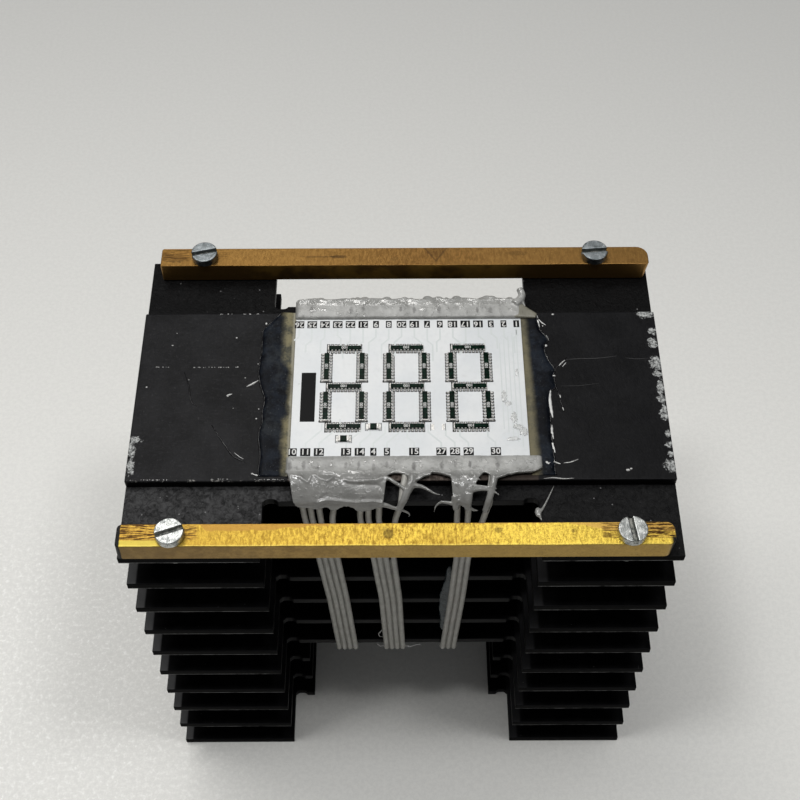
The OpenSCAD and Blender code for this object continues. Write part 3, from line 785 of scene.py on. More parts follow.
# Stains on the bars' tops as (x, y, half length, half depth, strength), in millimetres.
BAR_STAINS = {
    "front_brass": [
        (-2.2, -32.2, 0.9, 0.9, 0.65), (-2.8, -31.2, 0.5, 0.5, 0.4), (17.3, -31.6, 0.7, 0.6, 0.5),
        (30.5, -31.8, 0.35, 0.35, 0.5),
    ],
    "rear_brass": [
        (7.4, 33.2, 2.0, 1.5, 0.3), (-12.4, 31.9, 1.6, 0.4, 0.65), (-16.4, 31.9, 3.6, 0.2, 0.4),
        (-45.6, 31.6, 2.6, 1.0, 0.6), (-47.4, 32.4, 1.0, 0.6, 0.6), (-1.0, 31.3, 0.8, 0.5, 0.25),
        (24.0, 32.6, 2.0, 0.6, 0.3),
    ],
}
# File marks on the bars' tops as (x, half length, strength).
BAR_FILES = {
    "front_brass": [(-46.3, 3.2, 1.0), (-37.4, 0.9, 0.85), (37.3, 1.2, 0.7), (45.6, 2.6, 1.0)],
    "rear_brass": [(-45.5, 2.4, 0.7), (-36.5, 1.4, 0.4)],
}


def floor_material():
    """Pale table with a fine grain; painted light makes it a little darker towards the back and brighter at
    the front left, where a painted glare turns the grain to pale sparkles.
    """
    s = Shader("pale_table")
    cloud = s.noise(0.02, 4, 0.6)
    grain = s.noise(0.9, 5, 0.8)
    # Painted light: brighter towards the front left, darker towards the back.
    depth = s.step(s.y + s.x * 0.12, 330.0, -90.0)
    s.colour = s.mix(depth, (0.475, 0.475, 0.46), (0.8, 0.795, 0.76))
    # Painted glare: at the front left the grain is stronger and turns to pale sparkles.
    glare_patch = s.step(s.x, -20.0, -70.0) * s.step(s.y, 40.0, 0.0)
    s.layer(s.step(grain, 0.38, 0.62) * s.fade(glare_patch, 0.14, 0.2), (0.36, 0.36, 0.35))
    s.layer(glare_patch * s.step(grain, 0.46, 0.34) * 0.75, (0.96, 0.96, 0.94))
    s.layer(cloud * 0.08, (0.5, 0.5, 0.49))
    s.bump(grain, 0.05, 0.3)
    return s.finish(s.ramp(cloud, 0.5, 0.6))



MATERIALS = {}


def paint(piece, *keys):
    """Gives the piece its materials, made once each."""
    makers = {
        "fins": black_anodised, "dull_fins": lambda: black_anodised("black_anodised_dull", 0.012),
        "leg_top": leg_top, "slab": black_slab, "potting": potting_resin, "rim": resin_rim,
        "board": board_white, "trace": board_trace, "chip": green_chip, "solder": solder,
        "silicone": silicone,
        "pale_silicone": lambda: silicone("pale_silicone", (0.62, 0.62, 0.60), (0.4, 0.4, 0.39)),
        "glue": old_glue, "dark_glue": dark_glue, "smear": clear_smear,
        "scratch": lambda: board_ink("pale_scratch", (0.11, 0.11, 0.11)),
        "ink": lambda: board_ink("black_ink", (0.006, 0.006, 0.0065)),
        "white_ink": lambda: board_ink("white_ink", (0.7, 0.7, 0.68)),
        "wire": wire_jacket, "zinc": zinc_steel,
        "front_brass": lambda: brass("front_brass", FRONT_BAR, True),
        "rear_brass": lambda: brass("rear_brass", REAR_BAR, False),
    }
    for key in keys:
        if key not in MATERIALS:
            MATERIALS[key] = makers[key]()
        piece.data.materials.append(MATERIALS[key])
    return piece


# ---- block and slab

def finned_block():
    """The fins with softly broken edges; painted on top, dull on the lower fins' tops and at the front."""
    bm = cad_bmesh("finned_block")
    round_edges(bm, width=0.13, segments=2)
    piece = obj_from_bmesh("finned_block_body", bm, smooth=False)
    paint(piece, "fins", "leg_top", "dull_fins")
    for face in piece.data.polygons:
        at_front = face.normal.y < -0.2 and face.center.y / MM < BLOCK_LOW.y + 2
        if face.center.z / MM > FIN_TOP - 0.3:
            face.material_index = 1
        elif face.normal.z > 0.2 or at_front:
            face.material_index = 2
    return place(piece, "black_anodised", "finned_block")


def top_slab():
    """The slab, its long edges worn round. It reaches in under the potting, whose edge is uneven."""
    bm = cad_bmesh("top_slab")
    low, high = box_mm("potting")
    for v in bm.verts:
        if abs(v.co.x - low.x) < 0.05:
            v.co.x = BOARD_LOW.x - 1.5
        elif abs(v.co.x - high.x) < 0.05:
            v.co.x = BOARD_HIGH.x + 1.5
    round_edges(bm, width=0.28, segments=3)
    return finish_piece("top_slab_body", bm, "slab", "black_slab", "top_slab", smooth=False)


POTTING_FRONT = -18.6
# Outer edge of the potting on each side: (y, distance from the block's middle).
POTTING_EDGE = {
    -1: [
        (POTTING_FRONT, 26.3), (-13.5, 26.2), (-9.3, 26.7), (-6.8, 26.2), (-4.3, 26.3), (-1.3, 26.0),
        (1.6, 26.9), (5.9, 27.5), (10.0, 27.1), (14.8, 27.2), (16.2, 26.3), (18.0, 25.0), (19.6, 23.6),
    ],
    1: [
        (POTTING_FRONT, 28.6), (-13.3, 28.5), (-9.6, 28.4), (-3.8, 28.6), (0.0, 28.8), (1.2, 29.9),
        (3.8, 29.7), (5.4, 30.0), (8.2, 28.7), (11.0, 28.4), (12.6, 29.2), (15.4, 27.6), (18.0, 27.4),
        (19.6, 26.4),
    ],
}
# Cut through a bank as (share of its width, height), from the board outwards.
POTTING_CUT = [
    (0, -0.05), (0.06, 0.04), (0.3, 0.1), (0.6, 0.2), (0.82, 0.3), (0.93, 0.27), (0.98, 0.12), (1.0, -0.02),
]


def potting():
    """Two low banks of resin beside the board, each with a thin rolled rim along its outer edge."""
    bm = bmesh.new()
    stations = 130
    for side in (-1, 1):
        board_side = BOARD_LOW.x if side < 0 else BOARD_HIGH.x
        edge = catmull([(y, x, 0) for y, x in POTTING_EDGE[side]], 10)
        table = [(p.x, p.y) for p in edge]
        rings, rim = [], []
        for i in range(stations + 1):
            y = POTTING_FRONT + (SLAB_REAR - 0.05 - POTTING_FRONT) * i / stations
            width = lookup(y, table) + 0.12 * smooth_noise(y, side * 9, scale=0.6) - abs(board_side)
            ring = [(board_side, SLAB_TOP - 1.0)]
            for share, height in POTTING_CUT:
                x = board_side + side * width * share
                ring.append((x, SLAB_TOP + height + 0.03 * smooth_noise(x, y, side, scale=0.7)))
            ring.append((board_side + side * 2.6, SLAB_TOP - 1.0))
            rings.append([Vector((x, y, z)) for x, z in ring])
            rim.append(Vector((board_side + side * width, y, SLAB_TOP + 0.02)))
        add_loft(bm, rings)
        first_rim_face = len(bm.faces)
        add_tube(bm, rim, lambda u: 0.19 + 0.07 * smooth_noise(90 * u, side, scale=0.7), 8)
        number_faces(bm, first_rim_face, 1)
    return finish_piece("potting_resin_banks", bm, "potting rim", "potting_resin", "potting")


# ---- board and what is on it

def display_board():
    """The board with its cut edges just broken."""
    bm = cad_bmesh("display_board")
    round_edges(bm, width=0.08, segments=2)
    return finish_piece("display_board_body", bm, "board", "white_board", "display_board", smooth=False)


def add_plate(bm, x, y, width, depth, low, high, turn=0.0, material=0, edge=0.0):
    """A small flat box centred at (x, y), turned about the vertical, with its top edges cut back."""
    c, s = math.cos(turn), math.sin(turn)
    corners = [(-1, -1), (1, -1), (1, 1), (-1, 1)]
    levels = [(low, 0.0), (high - edge, 0.0), (high, edge)] if edge else [(low, 0.0), (high, 0.0)]
    rings = []
    for z, inset in levels:
        ring = []
        for sx, sy in corners:
            u, v = sx * (width / 2 - inset), sy * (depth / 2 - inset)
            ring.append(bm.verts.new((x + c * u - s * v, y + s * u + c * v, z)))
        rings.append(ring)
    faces = [bm.faces.new(list(reversed(rings[0]))), bm.faces.new(rings[-1])]
    for a, b in zip(rings, rings[1:]):
        faces += [bm.faces.new((a[k], a[(k + 1) % 4], b[(k + 1) % 4], b[k])) for k in range(4)]
    for face in faces:
        face.material_index = material


# A segment's length, the depth of its body, and its terminals.
SEGMENT_LENGTH, SEGMENT_BODY = 6.7, 0.95
SEGMENT_PINS, PIN_SPAN, PIN_WIDTH = 10, 2.06, 0.34


def glyph_mesh(text, size):
    """Filled outline of a plain number, centred on the origin, as a list of triangles in millimetres."""
    curve = bpy.data.curves.new("glyph", "FONT")
    curve.body, curve.size = text, size
    curve.align_x, curve.align_y = "CENTER", "CENTER"
    curve.resolution_u = 3
    curve.offset = 0.018 * size
    holder = bpy.data.objects.new("glyph", curve)
    bpy.context.scene.collection.objects.link(holder)
    mesh = bpy.data.meshes.new_from_object(holder.evaluated_get(bpy.context.evaluated_depsgraph_get()))
    shapes = [[mesh.vertices[i].co.copy() for i in face.vertices] for face in mesh.polygons]
    bpy.data.objects.remove(holder)
    bpy.data.curves.remove(curve)
    bpy.data.meshes.remove(mesh)
    return shapes


def add_glyphs(bm, shapes, x, y, z, turn, material):
    """Lays flat shapes at a place, turned about the vertical."""
    c, s = math.cos(turn), math.sin(turn)
    for shape in shapes:
        ring = [bm.verts.new((x + c * p.x - s * p.y, y + s * p.x + c * p.y, z)) for p in shape]
        bm.faces.new(ring).material_index = material


def segment(node, marks):
    """One segment package: green body with dark ends, terminals, solder fillets and its printed outline."""
    low, high = box_mm(node)
    mid = (low + high) / 2
    upright = (high.y - low.y) > (high.x - low.x)
    turn = math.pi / 2 if upright else 0.0
    c, s = math.cos(turn), math.sin(turn)
    bm = bmesh.new()
    base, top = SLAB_TOP, high.z
    flat, end, reach = base + 0.02, SEGMENT_LENGTH / 2, PIN_SPAN / 2

    def at(u, v):
        return mid.x + c * u - s * v, mid.y + s * u + c * v

    # The green top stops short of the first terminal's end, where the body is pale.
    add_plate(bm, *at(0.12, 0), SEGMENT_LENGTH - 0.34, SEGMENT_BODY, base, top, turn, 0, 0.07)
    add_plate(bm, *at(-end + 0.14, 0), 0.26, SEGMENT_BODY, base, top - 0.05, turn, 1, 0.05)
    pitch = (SEGMENT_LENGTH - 0.42) / (SEGMENT_PINS - 1)
    for side in (-1, 1):
        for i in range(SEGMENT_PINS):
            u = -end + 0.21 + i * pitch
            terminal = at(u, side * (SEGMENT_BODY / 2 + 0.05))
            add_plate(bm, *terminal, PIN_WIDTH, 0.16, flat, top - 0.1, turn, 1, 0.04)
            fillet = at(u, side * (reach - 0.26))
            add_plate(bm, *fillet, PIN_WIDTH - 0.04, 0.46, base + 0.014, base + 0.12, turn, 1, 0.07)
            # Dark outline round each pad's outer end.
            outline = at(u, side * (reach - 0.12))
            add_plate(bm, *outline, PIN_WIDTH + 0.22, 0.48, base, base + 0.012, turn, 2, 0.004)
    # Printed bar at the end where the first terminal is, turned in a little at its ends.
    add_plate(bm, *at(-end - 0.09, 0), 0.15, PIN_SPAN + 0.3, base, flat, turn, 2)
    if upright:
        for side in (-1, 1):
            add_plate(bm, *at(-end + 0.07, side * (reach + 0.13)), 0.34, 0.12, base, flat, turn, 2)
    add_glyphs(bm, marks, *at(0, 0), top + 0.012, turn if upright else math.pi, 3)
    keys = "chip solder ink white_ink"
    return finish_piece(node + "_package", bm, keys, "green_chip", node, smooth=False)


def small_chip(node):
    """A chip with tinned ends on two pads, inside its printed bracket."""
    low, high = box_mm(node)
    mid = (low + high) / 2
    bm = bmesh.new()
    base, top = SLAB_TOP, high.z
    length, width = high.x - low.x, high.y - low.y
    half, flat = length / 2, base + 0.02
    add_plate(bm, mid.x, mid.y, length * 0.62, width, base, top - 0.05, 0, 0, 0.08)
    for side in (-1, 1):
        add_plate(bm, mid.x + side * length * 0.4, mid.y, length * 0.22, width, base, top, 0, 1, 0.08)
        add_plate(bm, mid.x + side * (half + 0.16), mid.y, 0.5, width * 0.95, base, base + 0.14, 0, 1, 0.06)
        add_plate(bm, mid.x + side * (half + 0.52), mid.y, 0.09, width + 0.45, base, flat, 0, 2)
        for end in (-1, 1):
            y = mid.y + end * (width / 2 + 0.2)
            add_plate(bm, mid.x + side * (half + 0.28), y, 0.55, 0.09, base, flat, 0, 2)
    return finish_piece(node + "_package", bm, "chip solder ink", "green_chip", node, smooth=False)


# Plain numbers beside the pads.
REAR_NUMBERS = [26, 25, 24, 23, 22, 21, 9, 8, 20, 19, 7, 6, 18, 17, 16, 3, 2, 1]
FRONT_NUMBERS = [10, 11, 12, 13, 14, 4, 5, 15, 27, 28, 29, 30]
# Middles of the bare black field and of the empty chip place.
FIELD_X, FIELD_Y, FIELD_SIZE = -17.7, BOARD_MID.y - 2.46, (2.8, 11.4)
EMPTY_CHIP_X, EMPTY_CHIP_Y = 7.1, -7.9


def board_print():
    """Numbered pads along both edges, the empty chip place and a bare black field at the left."""
    bm = bmesh.new()
    base = SLAB_TOP
    ink, white, metal = 0, 1, 2
    front_y, rear_y = BOARD_LOW.y + 4.55, BOARD_HIGH.y - 4.5
    rows = [(rear_y, range(PAD_COUNT), REAR_NUMBERS, math.pi, REAR_SHIFT),
            (front_y, USED_PADS, FRONT_NUMBERS, 0.0, 0.0)]
    for y, places, numbers, turn, shift in rows:
        for i, number in zip(places, numbers):
            x = PAD_X0 + shift + i * PAD_PITCH
            text = str(number)
            width = 1.15 if len(text) == 1 else 1.9
            add_plate(bm, x, y, width, 1.72, base, base + 0.02, 0, ink)
            add_glyphs(bm, glyph_mesh(text, 1.75), x, y, base + 0.03, turn, white)
    add_plate(bm, FIELD_X, FIELD_Y, *FIELD_SIZE, base, base + 0.02, 0, ink)
    for side in (-1, 1):
        x = EMPTY_CHIP_X + side * 1.0
        add_plate(bm, x, EMPTY_CHIP_Y, 0.55, 1.3, base, base + 0.04, 0, metal)
        add_plate(bm, x + side * 0.42, EMPTY_CHIP_Y, 0.09, 1.6, base, base + 0.02, 0, ink)
    return finish_piece("board_print", bm, "ink white_ink solder", "white_board", smooth=False)


def board_traces():
    """Tracks under the mask: each runs from a pad towards the digits and turns by half a right angle."""
    bm = bmesh.new()
    rng = random.Random(7)
    top = SLAB_TOP + 0.012

    def run(points, width=0.34):
        for k, (a, b) in enumerate(zip(points, points[1:])):
            a, b = Vector(a), Vector(b)
            along = b - a
            mid = (a + b) / 2
            # Lengths that cross differ in height, so that none lies in another's face.
            add_plate(bm, mid.x, mid.y, along.length + width * 0.4, width, SLAB_TOP - 0.02, top + 0.003 * k,
                      math.atan2(along.y, along.x))

    for i in range(PAD_COUNT):
        x = PAD_X0 + REAR_SHIFT + i * PAD_PITCH
        low = BOARD_HIGH.y - 5.6
        bend = low - 1.2 - 2.0 * rng.random()
        shift = rng.choice((-1, 1)) * (0.6 + 1.4 * rng.random())
        turned = bend - abs(shift)
        run([(x, low), (x, bend), (x + shift, turned), (x + shift, turned - 1.5 - 3 * rng.random())])
    for i in USED_PADS[1:]:
        x = PAD_X0 + i * PAD_PITCH
        low = BOARD_LOW.y + 5.6
        shift = (1.2 + 2.6 * rng.random()) * (1 if i < 9 else -1)
        turned = low + 0.9 + abs(shift)
        run([(x, low), (x, low + 0.9), (x + shift, turned), (x + shift, low + abs(shift) + 2.4)])
    for k in range(5):
        x = BOARD_HIGH.x - 1.1 - 0.85 * k
        run([(x, BOARD_LOW.y + 5.5 + k), (x, BOARD_HIGH.y - 6.0 - 0.8 * k)], 0.22)
    return finish_piece("board_traces", bm, "trace", "white_board", smooth=False)


# ---- silicone

def profile_curve(points):
    """Function from a length along a smooth line to (point, outward normal), and the line's length."""
    line = catmull([(0, y, z) for y, z in points], 8)
    lengths = [0.0]
    for a, b in zip(line, line[1:]):
        lengths.append(lengths[-1] + (b - a).length)
    table_y = [(d, p.y) for d, p in zip(lengths, line)]
    table_z = [(d, p.z) for d, p in zip(lengths, line)]

    def at(distance):
        near, far = max(distance - 0.05, 0.0), min(distance + 0.05, lengths[-1])
        dy = lookup(far, table_y) - lookup(near, table_y)
        dz = lookup(far, table_z) - lookup(near, table_z)
        size = math.hypot(dy, dz) or 1.0
        point = Vector((0, lookup(distance, table_y), lookup(distance, table_z)))
        return point, Vector((0, dz / size, -dy / size))
    return at, lengths[-1]


def crease_height(x, distance, creases):
    """Height that ridges and grooves add at a place on the sheet; each is (points, height, half width)."""
    total = 0.0
    here = Vector((x, distance))
    for points, height, width in creases:
        nearest = 9.0
        for a, b in zip(points, points[1:]):
            a, b = Vector(a), Vector(b)
            if min(a.x, b.x) - 1 < x < max(a.x, b.x) + 1:
                share = max(0.0, min(1.0, (here - a).dot(b - a) / (b - a).length_squared))
                nearest = min(nearest, (here - a.lerp(b, share)).length)
        total += height * math.exp(-(nearest / width) ** 2)
    return total


def add_sheet(bm, left, right, at, reach, creases, thick, seat, step=0.2, points=44):
    """Closed sheet over the profile at() from left to right, reach(x) long; seat() gives its underside."""
    count = max(4, round((right - left) / step))
    rings = []
    for i in range(count + 1):
        x = left + (right - left) * i / count
        # The ends close in like the tip of a finger.
        near = min(i, count - i) * step
        shrink = math.sqrt(max(0.02, 1 - max(0.0, 1 - near / 1.0) ** 2))
        outer, inner = [], []
        for k in range(points + 1):
            distance = reach(x) * k / points
            p, n = at(distance)
            lift = 0.06 * smooth_noise(x, distance, scale=0.5)
            lift += 0.03 * smooth_noise(x, distance, 4, scale=1.6)
            lift += crease_height(x, distance, creases)
            under = seat(p, n, thick)
            q = p + n * lift
            y, z = under.y + (q.y - under.y) * shrink, under.z + (q.z - under.z) * shrink
            outer.append(Vector((x, y, z)))
            inner.append(Vector((x, under.y, under.z)))
        rings.append(outer + list(reversed(inner[1:-1])))
    add_loft(bm, rings)


def add_strand(bm, at, points, start, end):
    """Strand of silicone lying along the sheet's surface, through (x, distance) points, tapering."""
    spine = []
    for p in catmull([(x, distance, 0) for x, distance in points], 6):
        q, n = at(p.y)
        share = len(spine) / (6 * (len(points) - 1))
        spine.append(Vector((p.x, q.y, q.z)) - n * 0.6 * (start + (end - start) * share))
    add_tube(bm, spine, lambda u: start + (end - start) * u ** 0.7, 8)


# The front bead and its skirt in a cut across the bars, as (y, z) from the bead's rear edge and the
# slab's top: over the board's edge, down past the ledge and down the web.
FRONT_PROFILE = [
    (0, 0), (-0.3, 0.75), (-1.3, 1.05), (-3.0, 1.1), (-4.4, 1.3), (-5.3, 1.45), (-6.3, 1.3), (-7.4, 0.8),
    (-8.6, 0.1), (-9.5, -0.75), (-9.95, -1.7), (-10.1, -2.8), (-10.15, -4.2), (-10.15, -6.0),
]
# Length of the sheet along that line at each x: a skirt at the left, arches, and a drape over two wires.
FRONT_REACH = [
    (-20.9, 4.6), (-20.5, 6.0), (-20.3, 6.5), (-20.05, 8.3), (-19.8, 10.4), (-19.3, 11.3), (-18.8, 11.7),
    (-16.0, 12.2), (-14.9, 12.2), (-13.6, 11.7), (-13.1, 12.2), (-12.75, 12.6), (-11.85, 12.6),
    (-11.3, 12.05), (-10.35, 11.55), (-9.6, 11.5), (-8.75, 12.05), (-8.05, 13.0), (-6.8, 13.0),
    (-5.2, 12.5), (-3.5, 11.8), (-3.2, 10.6), (-2.95, 8.8), (-2.75, 7.2), (-2.5, 5.6), (-2.2, 5.2),
    (-1.3, 4.7), (0.5, 4.9), (1.2, 5.6), (2.2, 6.3), (3.2, 6.1), (4.25, 5.2), (5.7, 4.7), (7.5, 5.0),
    (9.2, 5.8), (9.5, 9.8), (10.2, 10.9), (12.5, 11.2), (12.95, 10.0), (13.3, 8.0), (13.9, 6.9),
    (14.3, 5.9), (15.2, 4.7), (16.0, 4.9), (16.9, 6.0), (17.6, 6.2), (18.5, 5.9), (19.8, 5.3), (21.6, 4.85),
    (24.0, 4.7), (25.4, 4.2), (26.3, 3.2),
]
# Ridges and grooves of the sheet as (points of x and distance, height, half width).
FRONT_CREASES = [
    ([(-14.5, 5.0), (-12.9, 5.2), (-11.4, 5.7), (-10.0, 7.0), (-8.1, 7.35), (-4.2, 7.4)], -0.26, 0.3),
    ([(-20.3, 5.3), (-18.5, 5.7), (-17.0, 6.9), (-16.2, 5.1), (-14.5, 6.2), (-13.6, 6.6),
      (-12.3, 5.9)], 0.34, 0.26),
    ([(-12.3, 6.0), (-9.2, 6.7), (-8.0, 6.7), (-4.2, 6.4), (-2.6, 5.7)], 0.26, 0.32),
    ([(-15.2, 10.5), (-13.6, 10.1), (-11.2, 10.3), (-8.5, 10.6), (-4.9, 10.4), (-3.2, 10.7)], 0.45, 0.3),
    ([(-15.0, 6.4), (-14.2, 7.4), (-14.6, 9.4)], 0.12, 0.4),
    ([(-19.0, 9.6), (-17.0, 10.2), (-15.6, 9.4)], -0.1, 0.5),
    ([(-7.6, 9.3), (-6.0, 8.8), (-4.4, 9.2)], 0.08, 0.5),
    ([(3.3, 5.7), (4.3, 5.0), (5.7, 4.6), (7.5, 4.8), (9.3, 5.5)], 0.16, 0.22),
    ([(17.6, 6.0), (19.8, 5.1), (21.6, 4.7), (24.0, 4.5)], 0.16, 0.22),
    ([(10.5, 7.0), (11.3, 9.0), (11.0, 10.6)], 0.14, 0.5),
    ([(-9.6, 4.1), (-8.6, 4.5), (-7.4, 4.2), (-6.8, 4.7)], 0.12, 0.25),
    ([(-13.0, 3.0), (-8.0, 3.3), (-3.0, 3.1)], -0.06, 0.8),
]
# Strands over the sheet as (points of x and distance, radius at the start, radius at the end).
FRONT_STRANDS = [
    ([(-3.9, 11.2), (-2.6, 11.5), (-1.2, 12.2), (0.2, 12.8), (1.2, 13.5), (1.65, 14.3),
      (1.3, 14.9)], 0.6, 0.1),
    ([(-3.8, 6.0), (-2.2, 6.1), (-1.1, 6.9), (0.0, 7.6), (0.9, 8.4)], 0.42, 0.34),
    ([(2.2, 5.2), (2.1, 6.4), (1.7, 7.6), (1.0, 8.9), (0.6, 10.2), (0.1, 11.3), (-0.2, 12.6)], 1.05, 0.64),
    ([(1.2, 7.2), (2.6, 7.5), (3.8, 7.7), (5.0, 8.3), (6.2, 9.0), (7.3, 9.25)], 0.7, 0.1),
    ([(2.0, 5.8), (3.0, 6.2), (4.2, 5.4), (5.6, 5.0)], 0.5, 0.25),
    ([(9.9, 9.5), (10.0, 11.0), (10.1, 12.6)], 0.8, 0.64),
    ([(12.4, 9.0), (12.3, 11.0), (12.2, 12.6)], 0.85, 0.64),
    ([(10.6, 10.2), (11.5, 11.2), (12.5, 12.2), (13.4, 12.85), (14.2, 12.85)], 0.9, 0.12),
    ([(12.4, 6.2), (13.5, 6.0), (14.6, 6.5)], 0.55, 0.1),
    ([(12.6, 7.9), (14.0, 7.75), (15.3, 7.8), (16.6, 7.9), (17.6, 8.2)], 0.5, 0.1),
    ([(16.2, 7.9), (16.9, 7.8), (16.85, 7.4)], 0.22, 0.08),
    ([(12.4, 8.5), (14.0, 8.25), (15.5, 8.3), (17.0, 8.7), (18.0, 9.4)], 0.6, 0.13),
    ([(10.4, 11.4), (9.3, 11.0), (8.3, 10.75), (7.3, 10.7), (6.5, 11.4), (6.2, 12.2),
      (6.15, 13.3)], 0.5, 0.1), ([(7.8, 10.8), (7.05, 10.0)], 0.24, 0.06),
    ([(9.6, 5.6), (9.9, 4.5), (10.6, 3.9), (11.3, 4.4), (11.5, 5.6)], 0.2, 0.22),
    ([(12.2, 5.6), (12.6, 4.9), (13.1, 4.6), (13.7, 5.8)], 0.2, 0.3),
    ([(17.1, 5.6), (16.8, 7.4), (16.4, 9.2), (15.9, 11.2), (15.5, 13.4)], 0.78, 0.62),
]
# Loose bits as (points of x, y and z, radius at the start, radius at the end).
FRONT_BITS = [
    ([(28.3, -19.9, 93.5), (27.2, -22.2, 93.5), (26.3, -24.0, 93.5), (25.6, -25.2, 93.5)], 0.13, 0.3),
    ([(25.2, -25.6, 93.4), (25.4, -26.4, 93.4), (25.6, -27.1, 93.35)], 0.4, 0.12),
]


def front_silicone():
    """Bead over the board's front edge, a skirt at the left, two drapes and the strands between them."""
    bm = bmesh.new()
    back = BOARD_LOW.y + 3.45
    at, _ = profile_curve([(back + y, SLAB_TOP + z) for y, z in FRONT_PROFILE])

    def seat(p, n, thick):
        return Vector((0, p.y, SLAB_TOP - 0.05)) if p.y > BOARD_LOW.y + 0.2 else p - n * thick

    def reach(x):
        return lookup(x, FRONT_REACH) + 0.1 * smooth_noise(x, scale=1.2)

    add_sheet(bm, BOARD_LOW.x - 0.6, BOARD_HIGH.x + 2.2, at, reach, FRONT_CREASES, 0.6, seat)
    for points, start, end in FRONT_STRANDS:
        add_strand(bm, at, points, start, end)
    for points, start, end in FRONT_BITS:
        add_tube(bm, catmull(points, 6), taper(start, end))
    add_ball(bm, (25.05, -25.4, FIN_TOP + 0.2), (0.62, 1.05, 0.4))
    return finish_piece("front_silicone_bead", bm, "silicone", "silicone", "front_silicone", voxel_mm=0.15)


# The rear bead in a cut across the bars, as (y, z) from its front edge and the slab's top.
REAR_PROFILE = [
    (0, 0), (0.3, 0.6), (1.4, 0.85), (2.8, 0.9), (4.0, 0.85), (5.0, 0.35), (5.5, -0.8), (5.3, -2.3),
]
REAR_CREASES = [
    ([(-20.0, 4.6), (-17.0, 5.3), (-14.0, 4.5), (-11.0, 5.2), (-8.0, 4.8), (-5.0, 5.4), (-2.0, 4.6),
      (1.0, 5.2)], 0.3, 0.4),
    ([(1.0, 5.2), (4.0, 4.5), (7.0, 5.3), (10.0, 4.7), (13.0, 5.3), (16.0, 4.6), (19.0, 5.2),
      (23.0, 4.6)], 0.3, 0.4),
]
REAR_BITS = [
    ([(23.0, 21.0, 95.9), (24.2, 22.2, 96.0), (24.6, 23.4, 96.2), (24.1, 24.6, 96.5)], 0.95, 0.7),
    ([(24.6, 21.6, 95.9), (25.2, 20.6, 95.6)], 0.4, 0.2),
]


def rear_silicone():
    """Bead round the board's rear edge with a lumpy, wavy rear side."""
    bm = bmesh.new()
    start = BOARD_HIGH.y - 3.3
    at, length = profile_curve([(start + y, SLAB_TOP + z) for y, z in REAR_PROFILE])

    def outward(distance):
        p, n = at(distance)
        return p, -n

    def seat(p, n, thick):
        beyond = max(SLAB_TOP - 2.0, min(p.z, SLAB_TOP - 0.05) - thick)
        return Vector((0, min(p.y, WEB_REAR), SLAB_TOP - 0.05 if p.y < BOARD_HIGH.y else beyond))

    def reach(x):
        return length - 0.4 + 0.3 * smooth_noise(x, 3, scale=0.5)

    add_sheet(bm, BOARD_LOW.x - 0.25, BOARD_HIGH.x + 0.2, outward, reach, REAR_CREASES, 0.6, seat, 0.25, 30)
    rng = random.Random(3)
    for _ in range(22):
        x = BOARD_LOW.x + 1.0 + (BOARD_HIGH.x - BOARD_LOW.x - 1.5) * rng.random()
        radius = 0.3 + 0.4 * rng.random()
        centre = (x, start + 4.6 + 0.5 * rng.random(), SLAB_TOP + 0.3 + 0.3 * rng.random())
        add_ball(bm, centre, (1.5, 0.9, 0.6), radius, subdivisions=2)
    for points, first, last in REAR_BITS:
        add_tube(bm, catmull(points, 8), taper(first, last))
    return finish_piece("rear_silicone_bead", bm, "silicone", "silicone", "rear_silicone", voxel_mm=0.17)


# Outline of the yellowed glue, and its height.
GLUE_OUTLINE = [(22.6, 21.4), (22.8, 17.9), (27.0, 17.7), (27.5, 18.7), (25.2, 20.6), (24.2, 21.6)]
GLUE_HEIGHT = 0.7


def glue_patches():
    """Yellowed glue beside the rear bead's right-hand end."""
    bm = bmesh.new()
    add_loft(bm, [[(x, y, z) for x, y in GLUE_OUTLINE] for z in (SLAB_TOP - 0.05, SLAB_TOP + GLUE_HEIGHT)])
    return finish_piece("glue_patches", bm, "glue", "silicone", voxel_mm=0.2)


def melt(piece, voxel_mm):
    """Joins the piece's overlapping shells into one skin and lets it flow together."""
    remesh = piece.modifiers.new("join", "REMESH")
    remesh.mode = "VOXEL"
    remesh.voxel_size = voxel_mm * MM
    remesh.use_smooth_shade = True
    soft = piece.modifiers.new("flow", "SMOOTH")
    soft.factor, soft.iterations = 0.5, 4
    return apply_all(piece)


# ---- wires and glue

WIRE_SHARES = [1.06, 1, 0.9, 0.68, 0.38, 0]
RIBBONS = {
    "left_ribbon": [
        [-19.9, -18.1, -17.8, -16.2, -14.9, -13.8], [-17.8, -16.7, -16.45, -15.0, -13.7, -12.6],
        [-15.2, -15.1, -14.9, -13.8, -12.5, -11.4], [-12.4, -12.3, -12.8, -12.5, -11.3, -10.2],
    ],
    "middle_ribbon": [
        [-7.6, -7.5, -7.5, -5.5, -4.1, -3.3], [-5.7, -6, -6, -4.3, -2.9, -2.1],
        [-3.4, -4, -4.1, -3.0, -1.7, -0.9], [1, 0, -1.1, -1.5, -0.4, 0.3],
    ],
    "right_ribbon": [
        [10.2, 10.4, 10.5, 10.9, 10.3, 9.2], [12.6, 12.4, 12.5, 12.1, 11.5, 10.4],
        [16.9, 16.2, 15.3, 13.3, 12.7, 11.6],
    ],
}


